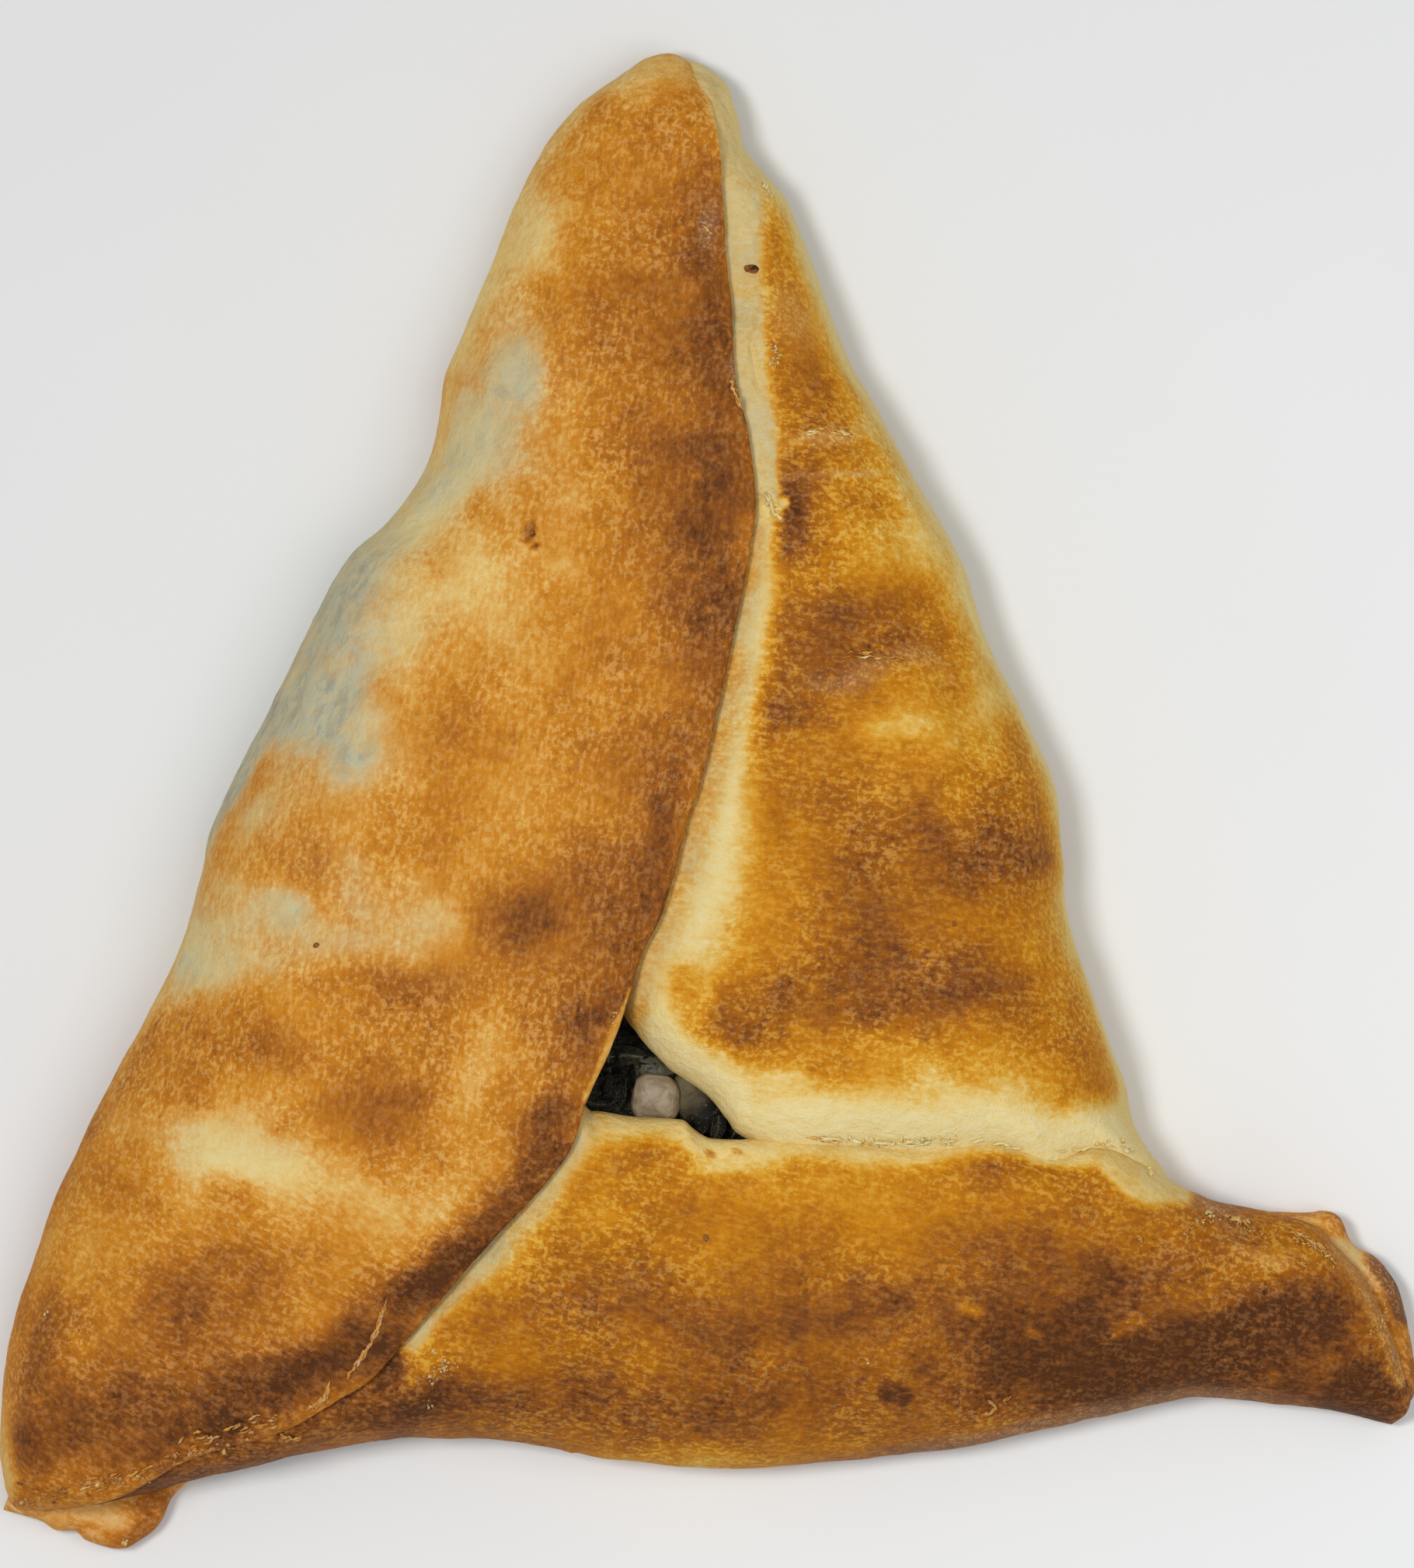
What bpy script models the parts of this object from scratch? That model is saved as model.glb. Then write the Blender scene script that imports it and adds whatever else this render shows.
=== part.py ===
"""Spinach turnover: three flaps of yeast dough folded to a triangle over spinach and onion.

The turnover lies on its flat base, seen from above with its tip towards +Y. The left flap lies
over the other two with a free edge from the tip to the lower left corner. The right and bottom
flaps meet in a seam, and where all three come together a small three-cornered hole shows the
filling. Lengths are in metres, and the outlines below are in millimetres from the middle.
"""

from dataclasses import dataclass

import bmesh
import bpy
import numpy as np

MM = 0.001

# Whole turnover, in millimetres
CROWN_HEIGHT = 26.0
CORNER_HEIGHT = 9.0
CROWN_CENTRE = (-5.0, -18.0)
CROWN_REACH = 100.0
BASE_THICKNESS = 4.0
BASE_RADII = (24.0, 24.0)
BELOW_GROUND = 2.0
GROUND_BLOCK = (250.0, 250.0, 10.0)
FITTING_GAP = 0.3

# Lift of each flap against the common crown
LEFT_FLAP_LIFT = 2.0
RIGHT_FLAP_LIFT = 0.0
BOTTOM_FLAP_LIFT = -0.6
TUCK_UNDER_LEFT_FLAP = 5.0
SEAM_OVERLAP = 3.2
UNDER_LAP = 3.2

# Outer side of the left flap, from the tip to the lower left corner
LEFT_SIDE = (
    (-9.5, 80.5), (-14.2, 76.9), (-18.1, 72.2), (-21.1, 66.2), (-24.9, 56.3), (-28.8, 47.4),
    (-29.4, 43.1), (-30.9, 37.1), (-35.2, 31.1), (-40.4, 25.9), (-45.9, 15.2), (-54.2, -1.9),
    (-56.1, -9.2), (-58.8, -17.4), (-69.5, -38.3), (-74.8, -51.6), (-77.4, -61.5),
    (-78.1, -70.1), (-77.7, -75.8),
)
# Free edge of the left flap, which lies over the others, from the tip to the lower left corner
FREE_EDGE = (
    (-0.5, 79.9), (0.8, 74.8), (1.5, 70.1), (1.6, 66.2), (2.7, 52.5), (3.3, 45.6), (4.4, 40.9),
    (5.3, 32.8), (4.7, 27.8), (1.1, 10.1), (-4.2, -9.8), (-7.3, -17.3), (-10.5, -26.8),
    (-13.2, -32.4), (-15.2, -37.9), (-19.1, -43.1), (-24.0, -48.1), (-35.2, -61.3),
    (-40.4, -65.3), (-48.1, -69.4), (-56.6, -71.8), (-65.2, -76.5), (-73.8, -78.0),
)
FREE_EDGE_POINTS_ABOVE_HOLE = 12
TIP_END = ((-9.5, 80.5), (-6.5, 82.3), (-3.5, 82.4), (-0.5, 79.9))
LOWER_LEFT_END = ((-77.7, -75.8), (-76.4, -77.8), (-73.8, -78.0))

# Outer side of the right flap, from the tip to the notch before the lower right corner
RIGHT_SIDE = (
    (-2.7, 82.2), (-0.5, 81.5), (2.1, 79.3), (3.3, 75.6), (3.8, 72.6), (5.5, 70.1), (8.5, 66.6),
    (11.1, 60.2), (15.3, 49.1), (18.8, 43.1), (24.3, 32.8), (28.1, 26.1), (30.6, 17.9),
    (34.5, 10.1), (38.1, 1.9), (39.2, -5.8), (39.9, -13.7), (45.4, -29.4), (47.1, -35.9),
    (50.5, -40.9), (52.5, -45.5),
)
# Lower rim of the right flap, from under the left flap round the hole and along the seam
RIGHT_RIM = (
    (-12.3, -17.3), (-9.3, -23.2), (-7.8, -25.2), (-6.3, -27.1), (-4.4, -29.1), (-2.4, -30.4),
    (-0.4, -31.7), (0.9, -33.0), (2.2, -34.7), (3.9, -36.6), (10.5, -36.6), (18.3, -37.2),
    (24.2, -37.5), (30.5, -36.8), (34.0, -37.4), (38.0, -38.7), (43.9, -37.7),
)
# Outer side of the bottom flap, from the lower left to the lower right corner
BOTTOM_SIDE = (
    (-72.9, -78.2), (-66.9, -77.3), (-61.8, -76.4), (-57.5, -75.0), (-49.8, -73.2),
    (-41.2, -71.1), (-30.1, -70.1), (-20.9, -70.5), (-10.6, -72.5), (1.6, -73.6), (11.6, -72.8),
    (26.9, -71.4), (38.3, -69.0), (51.8, -66.0), (57.0, -65.9), (67.1, -66.9), (75.6, -68.8),
)
# Upper rim of the bottom flap: under the left flap, at the hole, along the seam, to the corner
UPPER_RIM_START = (-74.0, -76.0)
LOWER_FREE_EDGE = slice(21, 12, -1)
HOLE_RIM = (
    (-13.3, -33.4), (-11.9, -33.8), (-8.3, -34.2), (-5.3, -34.3), (-2.7, -34.5), (-1.7, -35.4),
    (-0.4, -36.3), (1.5, -36.6),
)
CORNER_RIM = (
    (51.2, -41.9), (55.3, -43.7), (59.0, -44.6), (63.3, -45.6), (66.8, -46.9), (68.9, -48.9),
    (71.9, -52.1), (74.0, -55.9),
)
SEAM_POINTS = slice(10, 17)
LOWER_RIGHT_END = ((75.6, -68.8), (77.2, -67.3), (77.5, -64.9), (76.2, -60.6), (74.0, -55.9))

# Under layer of dough that shows beyond the flaps at the two lower corners
LEFT_TONGUE_HEIGHT = 4.8
LEFT_TONGUE = (
    (-78.0, -78.3), (-75.9, -78.8), (-73.8, -79.5), (-71.9, -80.5), (-69.9, -80.6),
    (-68.6, -81.8), (-64.8, -82.6), (-62.2, -81.2), (-60.5, -79.6), (-59.2, -76.9),
    (-57.1, -74.8),
)
LEFT_TONGUE_BACK = ((-76.5, -74.5), (-66.0, -71.5), (-56.0, -70.5))
RIGHT_LAYER_HEIGHT = 7.0
RIGHT_LAYER = (
    (61.5, -45.2), (66.1, -45.3), (68.0, -45.1), (69.8, -45.9), (71.2, -48.8), (73.5, -50.1),
    (75.2, -51.8), (76.6, -54.5), (77.9, -60.6), (78.2, -63.2), (77.6, -66.0), (74.8, -67.4),
)
RIGHT_LAYER_BACK = ((59.5, -50.0), (64.5, -54.0), (67.5, -61.0), (70.0, -65.5))

# Filling: its outline in plan, its height at the hole, and the shreds of leaf on it
FILLING_OUTLINE = (
    (-7.0, 50.0), (6.0, 38.0), (20.0, 15.0), (28.0, -8.0), (36.0, -30.0), (52.0, -54.0),
    (34.0, -62.0), (0.0, -66.0), (-30.0, -63.0), (-58.0, -64.0), (-58.0, -42.0),
    (-45.0, -12.0), (-34.0, 12.0), (-20.0, 36.0),
)
FILLING_CENTRE = (-5.0, -31.0)
FILLING_HEIGHT = 16.5
FILLING_EDGE = 3.0
FILLING_AROUND = 36
FILLING_FULLNESS = 2.6
# Shares of the way from the centre to the outline at which the top has a ring of points
FILLING_RINGS = (0.03, 0.06, 0.1, 0.14, 0.19, 0.25, 0.34, 0.48, 0.64, 0.78, 0.88, 0.95)
# Share of the way out, and level above the foot, of the two rings at the filling's foot
FILLING_FOOT = ((0.985, 1.2), (0.93, 0.0))
BUMP_HEIGHT = 0.7
BUMPS_REACH = 16.0
# Each shred's depth, sunk in the filling, its width, waves and bow, and its points along
SHRED_DEPTH = 3.2
SHRED_WIDTH = 2.4
SHRED_WAVE = 0.3
SHRED_BEND = 0.6
SHRED_BOW = 1.2
SHRED_STEPS = 9
# Space over the shreds at the hole, cut from the dough: radius at its foot and top, and levels
POCKET_RADII = (14.0, 10.0)
POCKET_LEVELS = (14.0, 18.1)
# Start, heading in degrees, length and height above the filling's top of each shred
SHREDS = (
    ((-13.0, -25.5), -20.0, 9.0, 0.4),
    ((-13.5, -28.5), 5.0, 8.0, 0.2),
    ((-12.5, -31.5), 75.0, 7.0, 0.7),
    ((-14.0, -32.5), 20.0, 6.5, 0.4),
    ((-9.5, -24.0), -75.0, 7.0, 0.1),
    ((-2.5, -36.5), 15.0, 7.0, 0.3),
    ((0.0, -33.0), -70.0, 5.0, 0.5),
)

# Onion chunks: middle, sizes along X, Y and Z, and turn about Z in degrees
WHITE_ONION = ((-5.8, -32.2, 17.0), (5.3, 5.8, 5.0), -4.0)
GREY_ONION = ((-0.1, -33.6, 15.6), (4.8, 6.4, 4.4), 20.0)
ONION_ROUNDNESS = 0.65
ONION_DENT = 0.05

# Rows of torn dough crags: share across, first and last share along, how many, and their size
SEAM_CRAGS = (0.98, 0.58, 0.78, 12, 1.2)
CORNER_CRAGS = (0.95, 0.83, 0.93, 9, 1.5)
LOWER_EDGE_CRAGS = (0.98, 0.88, 0.96, 8, 1.4)
CRAG_SEED = 7

# A crag's stretch in length, width and height, and how unevenly its points are pulled
CRAG_STRETCH = (1.3, 0.9, 0.7)
CRAG_STRETCH_SPREAD = 0.3
CRAG_PULL_SPREAD = 0.25
CRAG_SIZE_SPREAD = (0.7, 1.2)
CRAG_PLACE_SPREAD = 0.4
CRAG_SUNK = 0.1

# Low waves of the baked dough: height, length, and how far one wave bends the next
WAVE_HEIGHT = 0.3
WAVE_LENGTH = 24.0
WAVE_BEND = 1.7

# How finely curves and rounded fronts are drawn, and how points close up towards the sides
CURVE_STEPS = 12
FRONT_TURNS = (30, 60, 90)
ACROSS_GRADING = 1.7
ALONG_GRADING = 1.3
# Largest shares of a cushion's span that one edge's reach and tuck may take
MOST_REACH = 0.48
MOST_TUCK = 0.3


def curve_through(points, places):
    """Points at the given shares of the length of a smooth curve through the listed points."""
    knots = np.array(points, float)
    before = 2 * knots[:1] - knots[1:2]
    after = 2 * knots[-1:] - knots[-2:-1]
    knots = np.concatenate([before, knots, after])
    step = np.linspace(0, 1, CURVE_STEPS, endpoint=False)[:, None]
    pieces = []
    for a, b, c, d in zip(knots, knots[1:], knots[2:], knots[3:]):
        bend = (2 * a - 5 * b + 4 * c - d) * step**2 + (3 * b - a - 3 * c + d) * step**3
        pieces.append(b + ((c - a) * step + bend) / 2)
    dense = np.concatenate(pieces + [knots[-2:-1]])
    lengths = np.linalg.norm(np.diff(dense, axis=0), axis=1)
    travelled = np.concatenate([[0.0], np.cumsum(lengths)])
    wanted = np.asarray(places) * travelled[-1]
    return np.stack([np.interp(wanted, travelled, dense[:, axis]) for axis in (0, 1)], axis=-1)


def graded(count, power):
    """Shares from 0 to 1 that lie closer together towards both ends."""
    share = np.linspace(0, 1, count)
    return share**power / (share**power + (1 - share) ** power)


def crown(x, y):
    """Height of the turnover's common crown over a point in plan."""
    away = np.hypot(x - CROWN_CENTRE[0], y - CROWN_CENTRE[1]) / CROWN_REACH
    return CORNER_HEIGHT + (CROWN_HEIGHT - CORNER_HEIGHT) * (1 - away**2)


def waves(x, y):
    """Low waves of the baked surface."""
    x, y = x * 2 * np.pi / WAVE_LENGTH, y * 2 * np.pi / WAVE_LENGTH
    bent = x + WAVE_BEND * np.sin(0.7 * y + 0.4)
    crossed = y + WAVE_BEND * np.sin(0.6 * x + 2.0)
    return WAVE_HEIGHT * (np.sin(bent) + np.sin(crossed) + 0.5 * np.sin(1.7 * bent - 0.8 * crossed))


def smooth_step(value, start, stop):
    """0 before start, 1 after stop, and smooth between."""
    share = np.clip((value - start) / (stop - start), 0, 1)
    return share * share * (3 - 2 * share)


@dataclass(frozen=True)
class Edge:
    """How a cushion of dough ends at one side.

    reach is how far in the surface takes to come to its full height, drop the share of the
    height lost at the edge, front the height of the rounded front below the edge, and tuck how
    far the foot of that front is drawn in. later is the edge that this one turns into along the
    side, between the two shares of the side's length in change.
    """

    reach: float
    drop: float
    front: float
    tuck: float
    later: "Edge | None" = None
    change: tuple = (0.0, 1.0)

    def at(self, share, field):
        """One of the edge's sizes at the given shares of its side's length."""
        first = getattr(self, field) + 0 * share
        if self.later is None:
            return first
        return first + (self.later.at(share, field) - first) * smooth_step(share, *self.change)


DOWN_TO_GROUND = 40.0
OUTER = Edge(reach=17.0, drop=0.72, front=DOWN_TO_GROUND, tuck=2.4)
FREE = Edge(reach=6.0, drop=0.05, front=3.0, tuck=1.5)
HIDDEN = Edge(reach=14.0, drop=0.2, front=4.0, tuck=1.0)
SEAM_RIM = Edge(reach=10.0, drop=0.4, front=5.0, tuck=1.2)
FAT_RIM = Edge(reach=7.5, drop=0.25, front=5.0, tuck=1.2, later=SEAM_RIM, change=(0.28, 0.5))
CORNER_SIDE = Edge(reach=8.0, drop=0.5, front=DOWN_TO_GROUND, tuck=1.6)
THIN_RIM = Edge(reach=5.0, drop=0.17, front=2.2, tuck=1.2, later=CORNER_SIDE, change=(0.76, 0.86))
UPPER_RIM = Edge(reach=14.0, drop=0.2, front=4.0, tuck=1.2, later=THIN_RIM, change=(0.34, 0.4))
CORNER_END = Edge(reach=9.0, drop=0.55, front=DOWN_TO_GROUND, tuck=1.5)
LAYER_END = Edge(reach=2.2, drop=0.5, front=DOWN_TO_GROUND, tuck=0.5)


@dataclass(frozen=True)
class Cushion:
    """A flap of dough over a four-sided outline in plan, with rounded sides and a flat foot.

    side_a and side_b run from end_c to end_d. A place on it is two shares: across from side_a
    to side_b, and along from end_c to end_d.
    """

    name: str
    side_a: tuple
    side_b: tuple
    end_c: tuple
    end_d: tuple
    edge_a: Edge
    edge_b: Edge
    edge_c: Edge
    edge_d: Edge
    lift: float = 0.0
    flat_height: float | None = None
    across_count: int = 15
    along_count: int = 44

    def plan(self, across, along):
        """Point in plan: the four sides blended to a patch."""
        a = curve_through(self.side_a, along)
        b = curve_through(self.side_b, along)
        c = curve_through(self.end_c, across)
        d = curve_through(self.end_d, across)
        u = across[..., None]
        v = along[..., None]
        corners = (1 - v) * ((1 - u) * a_end(self.side_a, 0) + u * a_end(self.side_b, 0))
        corners = corners + v * ((1 - u) * a_end(self.side_a, -1) + u * a_end(self.side_b, -1))
        return (1 - u) * a + u * b + (1 - v) * c + v * d - corners

    def spans(self, across, along):
        """Width across and length along the cushion at each place."""
        gap = curve_through(self.side_a, along) - curve_through(self.side_b, along)
        width = np.linalg.norm(gap, axis=-1)
        lengths = [outline_length(side) for side in (self.side_a, self.side_b)]
        return width, lengths[0] * (1 - across) + lengths[1] * across

    def height(self, across, along, point):
        """Height of the top: the crown, let down towards each side as that side's edge says."""
        width, length = self.spans(across, along)
        x, y = point[..., 0], point[..., 1]
        full = self.flat_height or crown(x, y) + self.lift + waves(x, y)
        sides = (
            (self.edge_a, along, across * width, width),
            (self.edge_b, along, (1 - across) * width, width),
            (self.edge_c, across, along * length, length),
            (self.edge_d, across, (1 - along) * length, length),
        )
        for edge, share, distance, span in sides:
            reach = np.minimum(edge.at(share, "reach"), MOST_REACH * span + 0.01)
            outward = 1 - np.clip(distance / reach, 0, 1)
            full = full * (1 - edge.at(share, "drop") * (1 - np.sqrt(1 - outward**2)))
        return full

    def drawn_in(self, across, along, share):
        """The places moved in from all four sides by this share of each side's tuck."""
        width, length = self.spans(across, along)
        in_a = np.minimum(self.edge_a.at(along, "tuck") * share / width, MOST_TUCK)
        in_b = np.minimum(self.edge_b.at(along, "tuck") * share / width, MOST_TUCK)
        in_c = np.minimum(self.edge_c.at(across, "tuck") * share / length, MOST_TUCK)
        in_d = np.minimum(self.edge_d.at(across, "tuck") * share / length, MOST_TUCK)
        return in_a + across * (1 - in_a - in_b), in_c + along * (1 - in_c - in_d)

    def front_depth(self, across, along, edge_height):
        """Depth of the rounded front below each place of the rim."""
        sides = (
            (self.edge_a, along, across == 0),
            (self.edge_b, along, across == 1),
            (self.edge_c, across, along == 0),
            (self.edge_d, across, along == 1),
        )
        depth = np.full(across.shape, 0.0)
        for edge, share, here in sides:
            front = np.minimum(edge.at(share, "front"), edge_height)
            depth = np.where(here, np.maximum(depth, front), depth)
        return depth

    def build(self):
        """The closed solid as an object."""
        across = graded(self.across_count, ACROSS_GRADING)
        u, v = np.meshgrid(across, graded(self.along_count, ALONG_GRADING))
        point = self.plan(u, v)
        rows = [np.dstack([point, self.height(u, v, point)]).reshape(-1, 3)]
        rim = rim_order(self.across_count, self.along_count)
        rim_u, rim_v = u.reshape(-1)[rim], v.reshape(-1)[rim]
        rim_height = rows[0][rim, 2]
        depth = self.front_depth(rim_u, rim_v, rim_height)
        for turn in np.radians(FRONT_TURNS):
            place = self.drawn_in(rim_u, rim_v, 1 - np.cos(turn))
            lower = rim_height - depth * np.sin(turn)
            rows.append(np.column_stack([self.plan(*place), lower]))
        foot = rows[-1].copy()
        foot[:, 2] = -BELOW_GROUND
        rows.append(foot)
        return closed_cushion(self.name, rows, rim, self.across_count, self.along_count)


def a_end(points, index):
    """One end point of an outline as an array."""
    return np.array(points[index], float)


def outline_length(points):
    """Length of an outline from point to point."""
    return np.linalg.norm(np.diff(np.array(points, float), axis=0), axis=1).sum()


def rim_order(across_count, along_count):
    """Indices of a grid's outer points in turn, anticlockwise in its own shares."""
    grid = np.arange(across_count * along_count).reshape(along_count, across_count)
    return np.concatenate([grid[0], grid[1:, -1], grid[-1, -2::-1], grid[-2:0:-1, 0]])


def mesh_object(name, bm):
    """An object from a finished mesh, its faces triangles that point outwards."""
    bmesh.ops.triangulate(bm, faces=bm.faces)
    bmesh.ops.recalc_face_normals(bm, faces=bm.faces)
    mesh = bpy.data.meshes.new(name)
    bm.to_mesh(mesh)
    bm.free()
    made = bpy.data.objects.new(name, mesh)
    bpy.context.scene.collection.objects.link(made)
    return made


def closed_cushion(name, rows, rim, across_count, along_count):
    """A cushion's grid top, the rings below its rim and its flat foot as one closed mesh."""
    bm = bmesh.new()
    rings = []
    for row in rows:
        rings.append([bm.verts.new(place * MM) for place in row])
    top = rings[0]
    for j in range(along_count - 1):
        for i in range(across_count - 1):
            first = j * across_count + i
            above = first + across_count
            bm.faces.new((top[first], top[first + 1], top[above + 1], top[above]))
    rings[0] = [top[index] for index in rim]
    for upper, lower in zip(rings, rings[1:]):
        for k in range(len(upper)):
            after = (k + 1) % len(upper)
            bm.faces.new((upper[after], upper[k], lower[k], lower[after]))
    bm.faces.new(rings[-1])
    return mesh_object(name, bm)


def left_flap():
    """The flap that lies over the others."""
    return Cushion(
        "left_flap", LEFT_SIDE, FREE_EDGE, TIP_END, LOWER_LEFT_END,
        OUTER, FREE, CORNER_END, CORNER_END, LEFT_FLAP_LIFT, across_count=17, along_count=52,
    )


def right_flap():
    """The flap on the right, with its fat rim at the hole and the seam."""
    tucked = [(x - TUCK_UNDER_LEFT_FLAP, y) for x, y in FREE_EDGE[:FREE_EDGE_POINTS_ABOVE_HOLE]]
    tip = (tucked[0], RIGHT_SIDE[0])
    under_seam = [(x, y - SEAM_OVERLAP) for x, y in RIGHT_RIM[SEAM_POINTS]]
    rim = (tucked[-1], *RIGHT_RIM[1:SEAM_POINTS.start], *under_seam, RIGHT_SIDE[-1])
    return Cushion(
        "right_flap", tuple(tucked), RIGHT_SIDE, tip, rim,
        HIDDEN, OUTER, CORNER_END, FAT_RIM, RIGHT_FLAP_LIFT, across_count=17, along_count=40,
    )


def bottom_flap():
    """The flap at the bottom, whose thin rim lies against the right flap along the seam."""
    hidden = [(x - UNDER_LAP, y + UNDER_LAP) for x, y in FREE_EDGE[LOWER_FREE_EDGE]]
    upper = (UPPER_RIM_START, *hidden, *HOLE_RIM, *RIGHT_RIM[SEAM_POINTS], *CORNER_RIM)
    return Cushion(
        "bottom_flap", BOTTOM_SIDE, upper, (BOTTOM_SIDE[0], upper[0]), LOWER_RIGHT_END,
        OUTER, UPPER_RIM, CORNER_END, CORNER_END, BOTTOM_FLAP_LIFT, across_count=15, along_count=56,
    )


def left_tongue():
    """The under layer that shows at the lower left corner."""
    ends = ((LEFT_TONGUE[0], LEFT_TONGUE_BACK[0]), (LEFT_TONGUE[-1], LEFT_TONGUE_BACK[-1]))
    return Cushion(
        "left_tongue", LEFT_TONGUE, LEFT_TONGUE_BACK, *ends,
        LAYER_END, HIDDEN, LAYER_END, LAYER_END,
        flat_height=LEFT_TONGUE_HEIGHT, across_count=6, along_count=26,
    )


def right_layer():
    """The under layer that shows round the lower right corner."""
    ends = ((RIGHT_LAYER[0], RIGHT_LAYER_BACK[0]), (RIGHT_LAYER[-1], RIGHT_LAYER_BACK[-1]))
    return Cushion(
        "right_layer", RIGHT_LAYER, RIGHT_LAYER_BACK, *ends,
        LAYER_END, HIDDEN, LAYER_END, LAYER_END,
        flat_height=RIGHT_LAYER_HEIGHT, across_count=6, along_count=28,
    )


def crag(name, middle, size, random):
    """A torn scrap of dough: a small ball pulled uneven."""
    bm = bmesh.new()
    bmesh.ops.create_icosphere(bm, subdivisions=1, radius=size * MM / 2)
    spread = CRAG_STRETCH_SPREAD
    stretch = np.array(CRAG_STRETCH) * random.uniform(1 - spread, 1 + spread, 3)
    for vertex in bm.verts:
        pull = random.uniform(1 - CRAG_PULL_SPREAD, 1 + CRAG_PULL_SPREAD)
        pulled = np.array(vertex.co) * stretch * pull
        vertex.co = np.array(middle) * MM + pulled
    return mesh_object(name, bm)


def crags_along(flap, across, first, last, count, size, random):
    """A row of crags set in a flap's surface near one of its sides."""
    made = []
    for k, along in enumerate(np.linspace(first, last, count)):
        aside = random.uniform(-CRAG_PLACE_SPREAD, CRAG_PLACE_SPREAD)
        u = np.array([across + random.uniform(-0.01, 0.0)])
        v = np.array([along + aside * (last - first) / count])
        point = flap.plan(u, v)
        height = flap.height(u, v, point)[0]
        scale = size * random.uniform(*CRAG_SIZE_SPREAD)
        middle = (point[0, 0], point[0, 1], height - scale * CRAG_SUNK)
        made.append(crag(f"{flap.name}_crag_{k}", middle, scale, random))
    return made


def leaf_bumps(x, y):
    """Bumps of packed leaf on top of the filling, which fade away from the hole."""
    from_hole = np.hypot(x - FILLING_CENTRE[0], y - FILLING_CENTRE[1])
    fade = 1 - smooth_step(from_hole, BUMPS_REACH / 2, BUMPS_REACH)
    folds = np.sin(1.3 * x + 1.2 * np.sin(0.9 * y)) * np.sin(1.1 * y + 1.5 * np.sin(0.7 * x) + 1.0)
    return BUMP_HEIGHT * (folds - 1) * fade


def filling_lump(name, grown):
    """The filling's outer form, or the smooth hollow for it, grown by the given gap."""
    places = np.arange(FILLING_AROUND) / FILLING_AROUND
    outline = curve_through(FILLING_OUTLINE + FILLING_OUTLINE[:1], places)
    middle = np.array(FILLING_CENTRE)
    outward = outline - middle
    outline = outline + grown * outward / np.linalg.norm(outward, axis=1)[:, None]
    rim_level = BASE_THICKNESS + FILLING_EDGE
    rows = []
    for share in (*FILLING_RINGS, 1.0):
        x, y = (middle + (outline - middle) * share).T
        level = rim_level + (FILLING_HEIGHT - rim_level) * np.sqrt(1 - share**FILLING_FULLNESS)
        bumps = leaf_bumps(x, y) if grown == 0 else 0 * x
        rows.append(np.column_stack([x, y, level + bumps + grown]))
    foot = BASE_THICKNESS + FITTING_GAP - grown
    for share, above_foot in FILLING_FOOT:
        x, y = (middle + (outline - middle) * share).T
        rows.append(np.column_stack([x, y, foot + above_foot + 0 * x]))
    bm = bmesh.new()
    rings = [[bm.verts.new(place * MM) for place in row] for row in rows]
    top = bm.verts.new((*(middle * MM), rows[0][:, 2].mean() * MM))
    for k in range(FILLING_AROUND):
        after = (k + 1) % FILLING_AROUND
        bm.faces.new((top, rings[0][k], rings[0][after]))
        for upper, lower in zip(rings, rings[1:]):
            bm.faces.new((upper[k], lower[k], lower[after], upper[after]))
    bm.faces.new(rings[-1])
    return mesh_object(name, bm)


def shred(name, start, heading, length, above):
    """A wavy strip of cooked leaf that lies on the filling."""
    turn = np.radians(heading)
    ahead = np.array([np.cos(turn), np.sin(turn)])
    aside = np.array([-ahead[1], ahead[0]])
    bm = bmesh.new()
    rings = []
    for share in np.linspace(0, 1, SHRED_STEPS):
        half_width = SHRED_WIDTH / 2 * (0.35 + 0.65 * np.sin(np.pi * (0.1 + 0.85 * share)))
        middle = np.array(start) + ahead * length * share
        middle = middle + aside * SHRED_BEND * np.sin(share * 5 + heading)
        level = FILLING_HEIGHT + above + SHRED_WAVE * np.sin(share * 7 + heading)
        level = level - SHRED_BOW * (2 * share - 1) ** 2
        tilt = SHRED_WAVE * np.sin(share * 4 + heading)
        ring = []
        for side, below in ((-1, 0), (1, 0), (1, 1), (-1, 1)):
            place = middle + aside * side * half_width
            height = level + side * tilt - below * SHRED_DEPTH
            ring.append(bm.verts.new((*(place * MM), height * MM)))
        rings.append(ring)
    for back, front in zip(rings, rings[1:]):
        for k in range(4):
            after = (k + 1) % 4
            bm.faces.new((back[k], back[after], front[after], front[k]))
    bm.faces.new(rings[0])
    bm.faces.new(rings[-1])
    return mesh_object(name, bm)


def onion_chunk(name, middle, sizes, turn, grown=0.0):
    """A rounded chunk of onion, or the hollow for it, grown by the given gap."""
    bm = bmesh.new()
    bmesh.ops.create_icosphere(bm, subdivisions=3, radius=1.0)
    angle = np.radians(turn)
    half = np.array(sizes) / 2 + grown
    for vertex in bm.verts:
        unit = np.array(vertex.co)
        boxy = np.sign(unit) * np.abs(unit) ** ONION_ROUNDNESS
        dented = boxy * (1 + ONION_DENT * np.sin(3 * unit[0] + 2 * unit[1]))
        x, y, z = dented * half
        turned = (x * np.cos(angle) - y * np.sin(angle), x * np.sin(angle) + y * np.cos(angle), z)
        vertex.co = (np.array(turned) + np.array(middle)) * MM
    return mesh_object(name, bm)


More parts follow.
